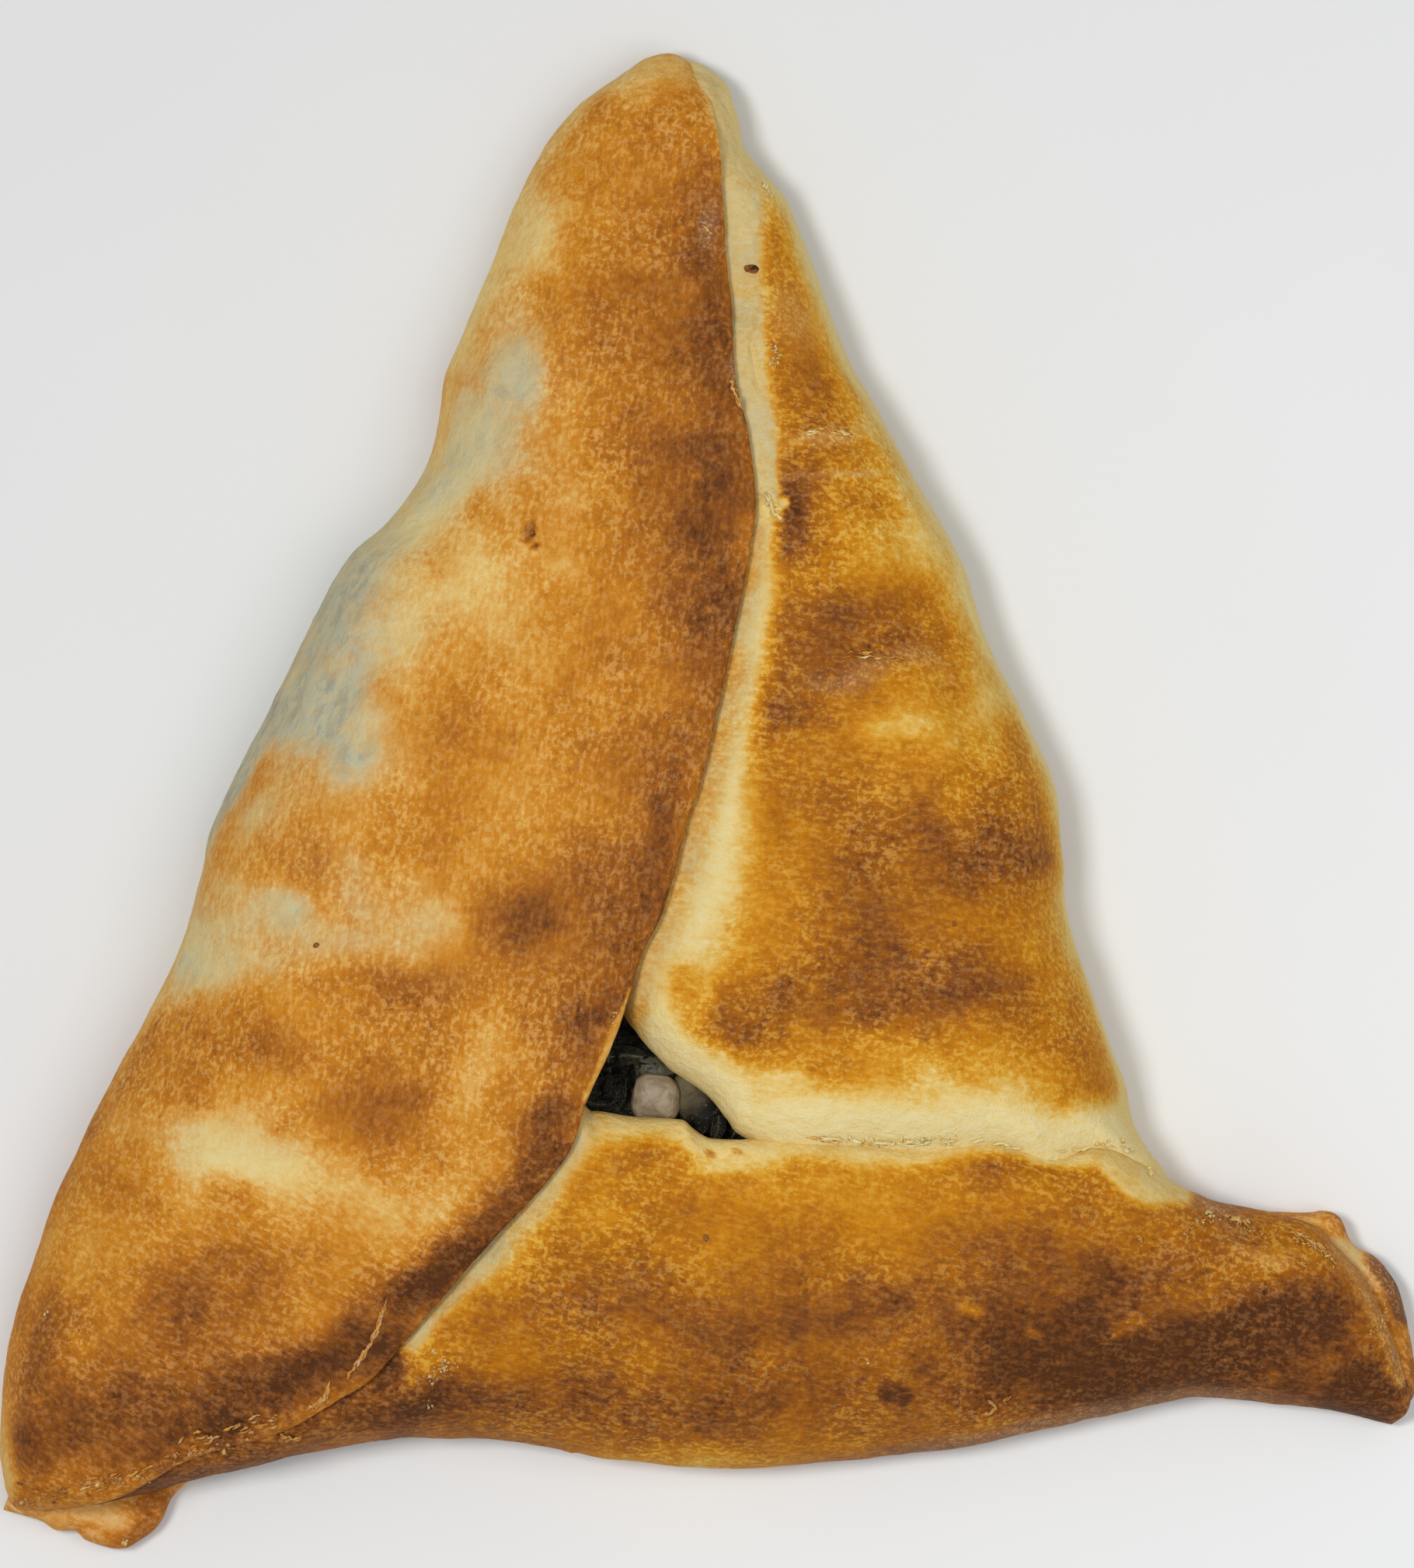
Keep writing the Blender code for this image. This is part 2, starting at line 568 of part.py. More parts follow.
def onion_sockets():
    """The hollows that hold the onion chunks, a fitting gap larger than they are."""
    return [
        onion_chunk("white_socket", *WHITE_ONION, FITTING_GAP),
        onion_chunk("grey_socket", *GREY_ONION, FITTING_GAP),
    ]


def round_block(name, radii, levels):
    """A round block about the hole, with its radius at the foot and top, and their levels."""
    bm = bmesh.new()
    bmesh.ops.create_cone(
        bm, cap_ends=True, segments=32, radius1=radii[0] * MM, radius2=radii[1] * MM,
        depth=(levels[1] - levels[0]) * MM,
    )
    middle = (*FILLING_CENTRE, sum(levels) / 2)
    bmesh.ops.translate(bm, verts=bm.verts, vec=np.array(middle) * MM)
    return mesh_object(name, bm)


def base_sheet():
    """The sheet of dough under the hole, which the flaps stand round."""
    return round_block("base_sheet", BASE_RADII, (-BELOW_GROUND, BASE_THICKNESS + 1.0))


def ground_block():
    """All that is below the ground, which cuts the flat underside."""
    bm = bmesh.new()
    bmesh.ops.create_cube(bm, size=1.0)
    bmesh.ops.scale(bm, verts=bm.verts, vec=np.array(GROUND_BLOCK) * MM)
    bmesh.ops.translate(bm, verts=bm.verts, vec=(0, 0, -GROUND_BLOCK[2] / 2 * MM))
    return mesh_object("ground_block", bm)


def combine(target, others, operation):
    """Joins the others to the target, or cuts them from it, and removes them."""
    group = bpy.data.collections.new("combined")
    bpy.context.scene.collection.children.link(group)
    for other in others:
        group.objects.link(other)
    modifier = target.modifiers.new("Combine", "BOOLEAN")
    modifier.operation = operation
    modifier.operand_type = "COLLECTION"
    modifier.collection = group
    modifier.solver = "EXACT"
    bpy.context.view_layer.update()
    graph = bpy.context.evaluated_depsgraph_get()
    mesh = bpy.data.meshes.new_from_object(target.evaluated_get(graph))
    target.modifiers.clear()
    target.data = mesh
    for other in others:
        bpy.data.objects.remove(other)
    bpy.data.collections.remove(group)
    return target


def material(name, colour, roughness):
    """A plain surface of one colour."""
    made = bpy.data.materials.new(name)
    made.use_nodes = True
    shader = made.node_tree.nodes["Principled BSDF"]
    shader.inputs["Base Color"].default_value = (*colour, 1)
    shader.inputs["Roughness"].default_value = roughness
    shader.inputs["Metallic"].default_value = 0.0
    return made


def finish(part, name, surface):
    """Names a sub-part, gives it its material and shades it smooth."""
    part.name = name
    part.data.name = name
    part.data.materials.clear()
    part.data.materials.append(surface)
    part.data.shade_smooth()


def build_crust():
    """The dough: flaps and under layers as one solid, hollow for the filling, open at the hole."""
    random = np.random.default_rng(CRAG_SEED)
    left, right, bottom = left_flap(), right_flap(), bottom_flap()
    crust = left.build()
    pieces = [right.build(), bottom.build(), left_tongue().build(), right_layer().build()]
    pieces.append(base_sheet())
    pieces += crags_along(bottom, *SEAM_CRAGS, random)
    pieces += crags_along(bottom, *CORNER_CRAGS, random)
    pieces += crags_along(left, *LOWER_EDGE_CRAGS, random)
    combine(crust, pieces, "UNION")
    hollow = filling_lump("hollow", FITTING_GAP)
    pocket = round_block("pocket", POCKET_RADII, POCKET_LEVELS)
    return combine(crust, [ground_block(), hollow, pocket, *onion_sockets()], "DIFFERENCE")


def build_filling():
    """The spinach with the shreds that show, hollow where the onion chunks lie."""
    filling = filling_lump("filling", 0.0)
    shreds = [shred(f"shred_{k}", *values) for k, values in enumerate(SHREDS)]
    combine(filling, shreds, "UNION")
    return combine(filling, onion_sockets(), "DIFFERENCE")


def main():
    for old in list(bpy.data.objects):
        bpy.data.objects.remove(old)
    finish(build_crust(), "crust", material("baked_dough", (0.56, 0.28, 0.07), 0.6))
    finish(build_filling(), "spinach_filling", material("spinach", (0.03, 0.05, 0.02), 0.35))
    white = onion_chunk("onion_white", *WHITE_ONION)
    finish(white, "onion_white", material("onion_flesh", (0.62, 0.50, 0.42), 0.4))
    grey = onion_chunk("onion_grey", *GREY_ONION)
    finish(grey, "onion_grey", material("onion_soft", (0.18, 0.17, 0.14), 0.3))


main()
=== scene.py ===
"""Looks of a baked spinach turnover: browned dough flaps round a hole with spinach and onion.

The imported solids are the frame. Each flap is a cushion of dough over a four-sided outline in
plan, as in the solids, with finer relief, and its browning is worked out from patches and strips
laid over it. Lengths are in millimetres in the object's own axes (+X right, +Y to the tip, +Z
up) until a mesh is made.
"""

import logging
from dataclasses import dataclass, field
from enum import Enum
from itertools import product

import bpy
import numpy as np
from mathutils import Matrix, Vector
from mathutils.geometry import delaunay_2d_cdt


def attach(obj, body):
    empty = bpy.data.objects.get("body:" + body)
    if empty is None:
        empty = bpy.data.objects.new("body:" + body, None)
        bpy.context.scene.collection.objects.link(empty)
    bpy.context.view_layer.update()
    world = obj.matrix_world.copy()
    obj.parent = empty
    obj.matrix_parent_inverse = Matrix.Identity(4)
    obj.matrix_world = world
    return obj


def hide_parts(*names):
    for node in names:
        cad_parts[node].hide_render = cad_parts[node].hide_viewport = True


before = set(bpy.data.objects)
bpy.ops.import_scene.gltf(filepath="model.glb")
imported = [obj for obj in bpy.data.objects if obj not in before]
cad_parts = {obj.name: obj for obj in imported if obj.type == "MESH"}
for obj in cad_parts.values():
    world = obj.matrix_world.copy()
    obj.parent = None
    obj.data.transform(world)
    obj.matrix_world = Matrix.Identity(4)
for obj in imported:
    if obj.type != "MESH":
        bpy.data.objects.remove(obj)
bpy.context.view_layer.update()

Socket = bpy.types.NodeSocket
log = logging.getLogger("turnover")
MM = 0.001
BODY = "root"

# Whole turnover, as in the solids
CROWN_HEIGHT = 26.0
CORNER_HEIGHT = 9.0
CROWN_CENTRE = (-5.0, -18.0)
CROWN_REACH = 100.0
LEFT_FLAP_LIFT = 2.0
RIGHT_FLAP_LIFT = 0.0
BOTTOM_FLAP_LIFT = -0.6
TUCK_UNDER_LEFT_FLAP = 5.0
SEAM_OVERLAP = 3.2
UNDER_LAP = 3.2
WAVE_HEIGHT = 0.3
WAVE_LENGTH = 24.0
WAVE_BEND = 1.7
CURVE_STEPS = 12
MOST_REACH = 0.48
MOST_TUCK = 0.3
GRADING = 1.25
FRONT_RINGS = 9
FOOT_LEVEL = 0.4

LEFT_SIDE = (
    (-9.5, 80.5), (-14.2, 76.9), (-18.1, 72.2), (-21.1, 66.2), (-24.9, 56.3), (-28.8, 47.4),
    (-29.4, 43.1), (-30.9, 37.1), (-35.2, 31.1), (-40.4, 25.9), (-45.9, 15.2), (-54.2, -1.9),
    (-56.1, -9.2), (-58.8, -17.4), (-69.5, -38.3), (-74.8, -51.6), (-77.4, -61.5),
    (-78.1, -70.1), (-77.7, -75.8),
)
FREE_EDGE = (
    (-0.5, 79.9), (0.8, 74.8), (1.5, 70.1), (1.6, 66.2), (2.7, 52.5), (3.3, 45.6), (4.4, 40.9),
    (5.3, 32.8), (4.7, 27.8), (1.1, 10.1), (-4.2, -9.8), (-7.3, -17.3), (-10.5, -26.8),
    (-13.2, -32.4), (-15.2, -37.9), (-19.1, -43.1), (-24, -48.1), (-35.2, -61.3),
    (-40.4, -65.3), (-48.1, -69.4), (-56.6, -71.8), (-65.2, -76.5), (-73.8, -78),
)
FREE_EDGE_POINTS_ABOVE_HOLE = 12
TIP_END = ((-9.5, 80.5), (-6.5, 82.3), (-3.5, 82.4), (-0.5, 79.9))
LOWER_LEFT_END = ((-77.7, -75.8), (-76.4, -77.8), (-73.8, -78))
RIGHT_SIDE = (
    (-2.7, 82.2), (-0.5, 81.5), (2.1, 79.3), (3.3, 75.6), (3.8, 72.6), (5.5, 70.1), (8.5, 66.6),
    (11.1, 60.2), (15.3, 49.1), (18.8, 43.1), (24.3, 32.8), (28.1, 26.1), (30.6, 17.9),
    (34.5, 10.1), (38.1, 1.9), (39.2, -5.8), (39.9, -13.7), (45.4, -29.4), (47.1, -35.9),
    (50.5, -40.9), (52.5, -45.5),
)
RIGHT_RIM = (
    (-12.3, -17.3), (-9.3, -23.2), (-7.8, -25.2), (-6.3, -27.1), (-4.4, -29.1), (-2.4, -30.4),
    (-0.4, -31.7), (0.9, -33), (2.2, -34.7), (3.9, -36.6), (10.5, -36.6), (18.3, -37.2),
    (24.2, -37.5), (30.5, -36.8), (34, -37.4), (38, -38.7), (43.9, -37.7),
)
BOTTOM_SIDE = (
    (-72.9, -78.2), (-66.9, -77.3), (-61.8, -76.4), (-57.5, -75), (-49.8, -73.2),
    (-41.2, -71.1), (-30.1, -70.1), (-20.9, -70.5), (-10.6, -72.5), (1.6, -73.6), (11.6, -72.8),
    (26.9, -71.4), (38.3, -69), (51.8, -66), (57, -65.9), (67.1, -66.9), (75.6, -68.8),
)
UPPER_RIM_START = (-74.0, -76.0)
LOWER_FREE_EDGE = slice(21, 12, -1)
HOLE_RIM = (
    (-13.3, -33.4), (-11.9, -33.8), (-8.3, -34.2), (-5.3, -34.3), (-2.7, -34.5), (-1.7, -35.4),
    (-0.4, -36.3), (1.5, -36.6),
)
CORNER_RIM = (
    (51.2, -41.9), (55.3, -43.7), (59, -44.6), (63.3, -45.6), (66.8, -46.9), (68.9, -48.9),
    (71.9, -52.1), (74, -55.9),
)
SEAM_POINTS = slice(10, 17)
LOWER_RIGHT_END = ((75.6, -68.8), (77.2, -67.3), (77.5, -64.9), (76.2, -60.6), (74, -55.9))
LEFT_TONGUE_HEIGHT = 4.8
LEFT_TONGUE = (
    (-78, -78.3), (-75.9, -78.8), (-73.8, -79.5), (-71.9, -80.5), (-69.9, -80.6),
    (-68.6, -81.8), (-64.8, -82.6), (-62.2, -81.2), (-60.5, -79.6), (-59.2, -76.9),
    (-57.1, -74.8),
)
LEFT_TONGUE_BACK = ((-76.5, -74.5), (-66, -71.5), (-56, -70.5))
RIGHT_LAYER_HEIGHT = 6.2
RIGHT_LAYER = (
    (61.5, -45.2), (66.1, -45.3), (68, -45.1), (69.8, -45.9), (71.2, -48.8), (73.5, -50.1),
    (75.2, -51.8), (76.6, -54.5), (77.9, -60.6), (78.2, -63.2), (77.6, -66), (74.8, -67.4),
)
RIGHT_LAYER_BACK = ((59.5, -50), (64.5, -54), (67.5, -61), (70, -65.5))

FILLING_OUTLINE = (
    (-7, 50), (6, 38), (20, 15), (28, -8), (36, -30), (52, -54),
    (34, -62), (0, -66), (-30, -63), (-58, -64), (-58, -42),
    (-45, -12), (-34, 12), (-20, 36),
)
FILLING_CENTRE = (-5.0, -31.0)
FILLING_HEIGHT = 16.5
FILLING_FOOT_LEVEL = 4.3


# Plain mathematics of curves, distances and noise


def curve_through(points: tuple, places: np.ndarray) -> np.ndarray:
    """Points at shares of the length of a Catmull-Rom curve through the listed points.

    Args:
        points: The listed points in plan.
        places: Shares of the curve's length, from 0 to 1.

    Returns:
        Points in plan, in an array one axis longer than places.
    """
    knots = np.array(points, float)
    before = 2 * knots[:1] - knots[1:2]
    after = 2 * knots[-1:] - knots[-2:-1]
    knots = np.concatenate([before, knots, after])
    step = np.linspace(0, 1, CURVE_STEPS, endpoint=False)[:, None]
    pieces = []
    for a, b, c, d in zip(knots, knots[1:], knots[2:], knots[3:]):
        bend = (2 * a - 5 * b + 4 * c - d) * step**2 + (3 * b - a - 3 * c + d) * step**3
        pieces.append(b + ((c - a) * step + bend) / 2)
    dense = np.concatenate(pieces + [knots[-2:-1]])
    lengths = np.linalg.norm(np.diff(dense, axis=0), axis=1)
    travelled = np.concatenate([[0.0], np.cumsum(lengths)])
    wanted = np.asarray(places) * travelled[-1]
    return np.stack([np.interp(wanted, travelled, dense[:, axis]) for axis in (0, 1)], axis=-1)


def graded(count: int, power: float) -> np.ndarray:
    """Shares from 0 to 1 that lie closer together towards both ends."""
    share = np.linspace(0, 1, count)
    return share**power / (share**power + (1 - share) ** power)


def smooth_step(value: np.ndarray, start: float, stop: float) -> np.ndarray:
    """0 before start, 1 after stop, and smooth between."""
    share = np.clip((value - start) / (stop - start), 0, 1)
    return share * share * (3 - 2 * share)


def crown(x: np.ndarray, y: np.ndarray) -> np.ndarray:
    """Height of the turnover's common crown: a paraboloid about the crown's centre."""
    away = np.hypot(x - CROWN_CENTRE[0], y - CROWN_CENTRE[1]) / CROWN_REACH
    return CORNER_HEIGHT + (CROWN_HEIGHT - CORNER_HEIGHT) * (1 - away**2)


def waves(x: np.ndarray, y: np.ndarray) -> np.ndarray:
    """Low waves of the baked surface: two crossed sines, each bent by the other.

    Args:
        x: Places across.
        y: Places along.

    Returns:
        What they add to the height.
    """
    x, y = x * 2 * np.pi / WAVE_LENGTH, y * 2 * np.pi / WAVE_LENGTH
    bent = x + WAVE_BEND * np.sin(0.7 * y + 0.4)
    crossed = y + WAVE_BEND * np.sin(0.6 * x + 2.0)
    return WAVE_HEIGHT * (np.sin(bent) + np.sin(crossed) + 0.5 * np.sin(1.7 * bent - 0.8 * crossed))


def lattice_noise(points: np.ndarray, size: float, seed: int) -> np.ndarray:
    """Smooth noise from -1 to 1: hashed values on a lattice, blended by smooth steps.

    Args:
        points: Places, one row of three numbers each.
        size: Distance between lattice points.
        seed: Chooses another noise.

    Returns:
        One value for each place.
    """
    places = points / size + seed * 17.3
    base = np.floor(places).astype(np.int64)
    share = places - base
    blend = share * share * (3 - 2 * share)
    total = np.zeros(len(points))
    for corner in product((0, 1), repeat=3):
        cell = (base + corner).astype(np.uint64)
        mixed = cell[:, 0] * np.uint64(73856093) ^ cell[:, 1] * np.uint64(19349663)
        mixed = mixed ^ cell[:, 2] * np.uint64(83492791) ^ np.uint64(seed * 2654435761)
        mixed = (mixed ^ (mixed >> np.uint64(13))) * np.uint64(1274126177)
        mixed = (mixed ^ (mixed >> np.uint64(16))) & np.uint64(0xFFFF)
        weight = np.prod(np.where(corner, blend, 1 - blend), axis=1)
        total += weight * (mixed.astype(float) / 32767.5 - 1)
    return total


def layered_noise(points: np.ndarray, size: float, layers: int, seed: int) -> np.ndarray:
    """Lattice noise with finer, weaker layers added, each half the size of the one before.

    Args:
        points: Places, one row of three numbers each.
        size: Distance between the first lattice's points.
        layers: How many layers.
        seed: Chooses another noise.

    Returns:
        One value for each place.
    """
    total = np.zeros(len(points))
    for layer in range(layers):
        total += lattice_noise(points, size / 2**layer, seed + layer) / 2**layer
    return total


def distance_along(x: np.ndarray, y: np.ndarray, curve: np.ndarray) -> tuple:
    """Distance from each place to a line in plan, and where along it the nearest point is.

    Args:
        x: Places across.
        y: Places along.
        curve: The line's points.

    Returns:
        The distances, and the shares along the line from 0 to 1.
    """
    nearest = np.full(x.shape, 1e9)
    share = np.zeros(x.shape)
    parts = len(curve) - 1
    for k, (a, b) in enumerate(zip(curve, curve[1:])):
        run = b - a
        along = ((x - a[0]) * run[0] + (y - a[1]) * run[1]) / max(run @ run, 1e-9)
        along = np.clip(along, 0, 1)
        away = np.hypot(x - a[0] - along * run[0], y - a[1] - along * run[1])
        closer = away < nearest
        nearest = np.where(closer, away, nearest)
        share = np.where(closer, (k + along) / parts, share)
    return nearest, share


def outline_length(points: tuple) -> float:
    """Length of an outline from point to point."""
    return np.linalg.norm(np.diff(np.array(points, float), axis=0), axis=1).sum()


def signed_area(outline: np.ndarray) -> float:
    """Area of a closed outline in plan, positive where it runs anticlockwise."""
    x, y = outline.T
    return (x * np.roll(y, -1) - np.roll(x, -1) * y).sum() / 2


def rim_order(across_count: int, along_count: int) -> np.ndarray:
    """Indices of a grid's outer points in turn, anticlockwise in its own shares."""
    grid = np.arange(across_count * along_count).reshape(along_count, across_count)
    return np.concatenate([grid[0], grid[1:, -1], grid[-1, -2::-1], grid[-2:0:-1, 0]])


# Meshes


def new_object(name: str, data: bpy.types.ID) -> bpy.types.Object:
    """Puts a mesh, a lamp or a camera into the scene.

    Args:
        name: The object's name.
        data: What it shows.

    Returns:
        The new object.
    """
    made = bpy.data.objects.new(name, data)
    bpy.context.scene.collection.objects.link(made)
    return made


@dataclass
class Shell:
    """A closed surface: its points, its faces of three or four corners, and its larger faces."""

    points: np.ndarray
    faces: np.ndarray
    caps: list = field(default_factory=list)
    marks: dict = field(default_factory=dict)

    def normals(self) -> np.ndarray:
        """Outward direction at each point: the mean of its faces' directions.

        Returns:
            A direction of length 1 for each point.
        """
        corners = self.points[self.faces]
        facing = np.cross(corners[:, 2] - corners[:, 0], corners[:, -1] - corners[:, 1])
        total = np.zeros_like(self.points)
        for corner in range(self.faces.shape[1]):
            np.add.at(total, self.faces[:, corner], facing)
        return total / np.maximum(np.linalg.norm(total, axis=1), 1e-12)[:, None]

    def joined(self, other: "Shell") -> "Shell":
        """This surface and another of the same kind as one, with both their marks.

        Args:
            other: The surface to add.

        Returns:
            The joined surface.
        """
        caps = [list(cap) for cap in self.caps]
        caps += [[index + len(self.points) for index in cap] for cap in other.caps]
        marks = {name: np.concatenate([self.marks[name], other.marks[name]]) for name in self.marks}
        faces = np.concatenate([self.faces, other.faces + len(self.points)])
        return Shell(np.concatenate([self.points, other.points]), faces, caps, marks)

    def piece(self, name: str, finish: "Finish", slot: str, node: str,
              smooth: bool = True) -> bpy.types.Object:
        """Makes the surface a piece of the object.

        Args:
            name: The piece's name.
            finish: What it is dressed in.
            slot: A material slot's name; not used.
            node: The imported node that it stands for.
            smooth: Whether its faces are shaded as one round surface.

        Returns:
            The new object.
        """
        mesh = bpy.data.meshes.new(name)
        width = self.faces.shape[1]
        corners = self.faces.reshape(-1).astype(np.int32)
        starts = np.arange(len(self.faces), dtype=np.int32) * width
        for cap in self.caps:
            starts = np.append(starts, np.int32(len(corners)))
            corners = np.concatenate([corners, np.array(cap, np.int32)])
        mesh.vertices.add(len(self.points))
        mesh.vertices.foreach_set("co", (self.points * MM).astype(np.float32).reshape(-1))
        mesh.loops.add(len(corners))
        mesh.loops.foreach_set("vertex_index", corners)
        mesh.polygons.add(len(starts))
        mesh.polygons.foreach_set("loop_start", starts)
        mesh.update(calc_edges=True)
        mesh.validate()
        for mark, values in self.marks.items():
            layer = mesh.attributes.new(mark, "FLOAT", "POINT")
            layer.data.foreach_set("value", values.astype(np.float32))
        mesh.materials.append(finish.material())
        if smooth:
            mesh.shade_smooth()
        made = new_object(name, mesh)
        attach(made, BODY)
        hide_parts(node)
        log.info("%s: %d faces", name, len(mesh.polygons))
        return made


def torn_marks(brown: np.ndarray, flour: np.ndarray) -> dict:
    """The marks of torn dough: browning and flour, with no grey and no flecks."""
    none = np.zeros(len(brown))
    return {"brown": np.clip(brown, 0, 1), "flour": flour, "grey": none, "fleck": none}


def as_one(shells: list) -> Shell:
    """Several surfaces of one kind as one.

    Args:
        shells: The surfaces, all with the same marks.

    Returns:
        The joined surface.
    """
    whole = shells[0]
    for shell in shells[1:]:
        whole = whole.joined(shell)
    return whole


def grid_faces(across_count: int, along_count: int) -> np.ndarray:
    """Four-cornered faces between the rows of a grid of points."""
    first = (np.arange(along_count - 1)[:, None] * across_count + np.arange(across_count - 1)).reshape(-1)
    return np.stack([first, first + 1, first + across_count + 1, first + across_count], axis=1)


def stacked_rings(rows: np.ndarray) -> Shell:
    """A closed surface from level rings of points, each anticlockwise, from the top one down.

    Args:
        rows: The points, by ring and by place round it.

    Returns:
        The surface.
    """
    count = rows.shape[1]
    rings = np.arange(rows.shape[0] * count).reshape(-1, count)
    faces = [ring_faces(upper, lower) for upper, lower in zip(rings, rings[1:])]
    caps = [list(rings[0]), list(rings[-1][::-1])]
    return Shell(rows.reshape(-1, 3), np.concatenate(faces), caps)


def ball(around: int, rows: int, cap: float) -> np.ndarray:
    """Points on a ball of radius 1 in level rings from the top down; cap is the first ring's angle."""
    angle, rise = np.meshgrid(np.arange(around) / around * 2 * np.pi, np.linspace(cap, np.pi - cap, rows))
    return np.stack([np.sin(rise) * np.cos(angle), np.sin(rise) * np.sin(angle), np.cos(rise)], -1)


def turned(points: np.ndarray, degrees: float) -> np.ndarray:
    """The points turned about the vertical axis.

    Args:
        points: The points, with X, Y and Z along the last axis.
        degrees: The angle, anticlockwise from above.

    Returns:
        The turned points.
    """
    turn = np.radians(degrees)
    x = points[..., 0] * np.cos(turn) - points[..., 1] * np.sin(turn)
    y = points[..., 0] * np.sin(turn) + points[..., 1] * np.cos(turn)
    return np.stack([x, y, points[..., 2]], -1)


def ring_faces(upper: np.ndarray, lower: np.ndarray) -> np.ndarray:
    """Four-cornered faces between two closed rings of point indices, the upper one first."""
    return np.stack([np.roll(upper, -1), upper, lower, np.roll(lower, -1)], axis=1)


# Finishes


class NodeBench:
    """A material's node tree, with short ways to add to it."""

    def __init__(self, name: str) -> None:
        """Starts a material with a surface shader and its output.

        Args:
            name: The material's name.
        """
        self.material = bpy.data.materials.new(name)
        self.material.use_nodes = True
        self.tree = self.material.node_tree
        self.tree.nodes.clear()
        self.shader = self.add("ShaderNodeBsdfPrincipled")
        output = self.add("ShaderNodeOutputMaterial")
        self.tree.links.new(self.shader.outputs[0], output.inputs["Surface"])
        self.place = self.add("ShaderNodeTexCoord").outputs["Object"]

    def add(self, kind: str, inputs: dict | None = None, **settings: object) -> bpy.types.Node:
        """Adds a node.

        Args:
            kind: The node's type.
            inputs: Values or sockets for its inputs, by name or number.
            settings: Other properties of the node.

        Returns:
            The node.
        """
        node = self.tree.nodes.new(kind)
        for name, value in settings.items():
            setattr(node, name, value)
        for name, value in (inputs or {}).items():
            self.feed(node.inputs[name], value)
        return node

    def feed(self, socket: Socket, value: object) -> None:
        """Links a socket into another, or sets its value.

        Args:
            socket: The socket to fill.
            value: The socket or the value that fills it.
        """
        if isinstance(value, Socket):
            self.tree.links.new(value, socket)
        else:
            socket.default_value = value

    def along(self, axis: int) -> Socket:
        """The place's X, Y or Z in metres, by its number."""
        return self.add("ShaderNodeSeparateXYZ", {0: self.place}).outputs[axis]

    def mark(self, name: str) -> Socket:
        """A value stored at the piece's points."""
        return self.add("ShaderNodeAttribute", attribute_name=name).outputs["Fac"]

    def noise(self, size: float, detail: float = 2.0, rough: float = 0.5, twist: float = 0.0,
              drawn: tuple = (1.0, 1.0, 1.0), turn: float = 0.0) -> Socket:
        """Cloudy noise.

        Args:
            size: Size of its features in millimetres.
            detail: How many finer layers it has.
            rough: How strong they are.
            twist: How far it is distorted.
            drawn: How much it is drawn out along its own X, Y and Z.
            turn: Angle in degrees from the piece's X to its own.

        Returns:
            The noise, from 0 to 1 about 0.5.
        """
        spin = (0.0, 0.0, float(np.radians(turn)))
        inputs = {"Vector": self.place, "Rotation": spin, "Scale": drawn}
        place = self.add("ShaderNodeMapping", inputs, vector_type="TEXTURE").outputs[0]
        values = {"Vector": place, "Scale": 1 / (size * MM), "Detail": detail, "Roughness": rough}
        values["Distortion"] = twist
        return self.add("ShaderNodeTexNoise", values).outputs["Fac"]

    def cells(self, size: float, shift: object, amount: float) -> tuple:
        """Small round cells, shaken by a noise.

        Args:
            size: Distance between the cells in millimetres.
            shift: The noise that moves them.
            amount: How far it moves them in millimetres.

        Returns:
            The distance from the nearest cell's middle in cells, and a number by chance for
            each cell.
        """
        moved = {0: self.place, 1: self.times(shift, amount * MM)}
        place = self.add("ShaderNodeVectorMath", moved, operation="ADD").outputs[0]
        node = self.add("ShaderNodeTexVoronoi", {"Vector": place, "Scale": 1 / (size * MM)})
        split = self.add("ShaderNodeSeparateXYZ", {0: node.outputs["Color"]})
        return node.outputs["Distance"], split.outputs[0]

    def math(self, operation: str, *values: object) -> Socket:
        """A number worked out from others."""
        inputs = dict(enumerate(values))
        return self.add("ShaderNodeMath", inputs, operation=operation).outputs[0]

    def times(self, first: object, second: object) -> Socket:
        """The product of two numbers."""
        return self.math("MULTIPLY", first, second)

    def at_most(self, value: object, most: float) -> Socket:
        """The value, held down to the most that it may be."""
        return self.math("MINIMUM", value, most)

    def sum_of(self, first: object, *terms: tuple) -> Socket:
        """A number plus each given noise, less a half, times its weight.

        Args:
            first: The number to begin with.
            terms: Pairs of a noise and its weight.

        Returns:
            The sum.
        """
        total = first
        for noise, weight in terms:
            total = self.math("MULTIPLY_ADD", self.math("SUBTRACT", noise, 0.5), weight, total)
        return total

    def between(self, value: object, low: float, high: float, start: object = 0.0,
                stop: object = 1.0) -> Socket:
        """The value carried smoothly from low..high to start..stop.

        Args:
            value: The number to carry over.
            low: Where it counts as start.
            high: Where it counts as stop.
            start: The result at low and below.
            stop: The result at high and above.

        Returns:
            The result.
        """
        inputs = {"Value": value, "From Min": low, "From Max": high, "To Min": start, "To Max": stop}
        made = self.add("ShaderNodeMapRange", inputs, interpolation_type="SMOOTHSTEP")
        return made.outputs[0]

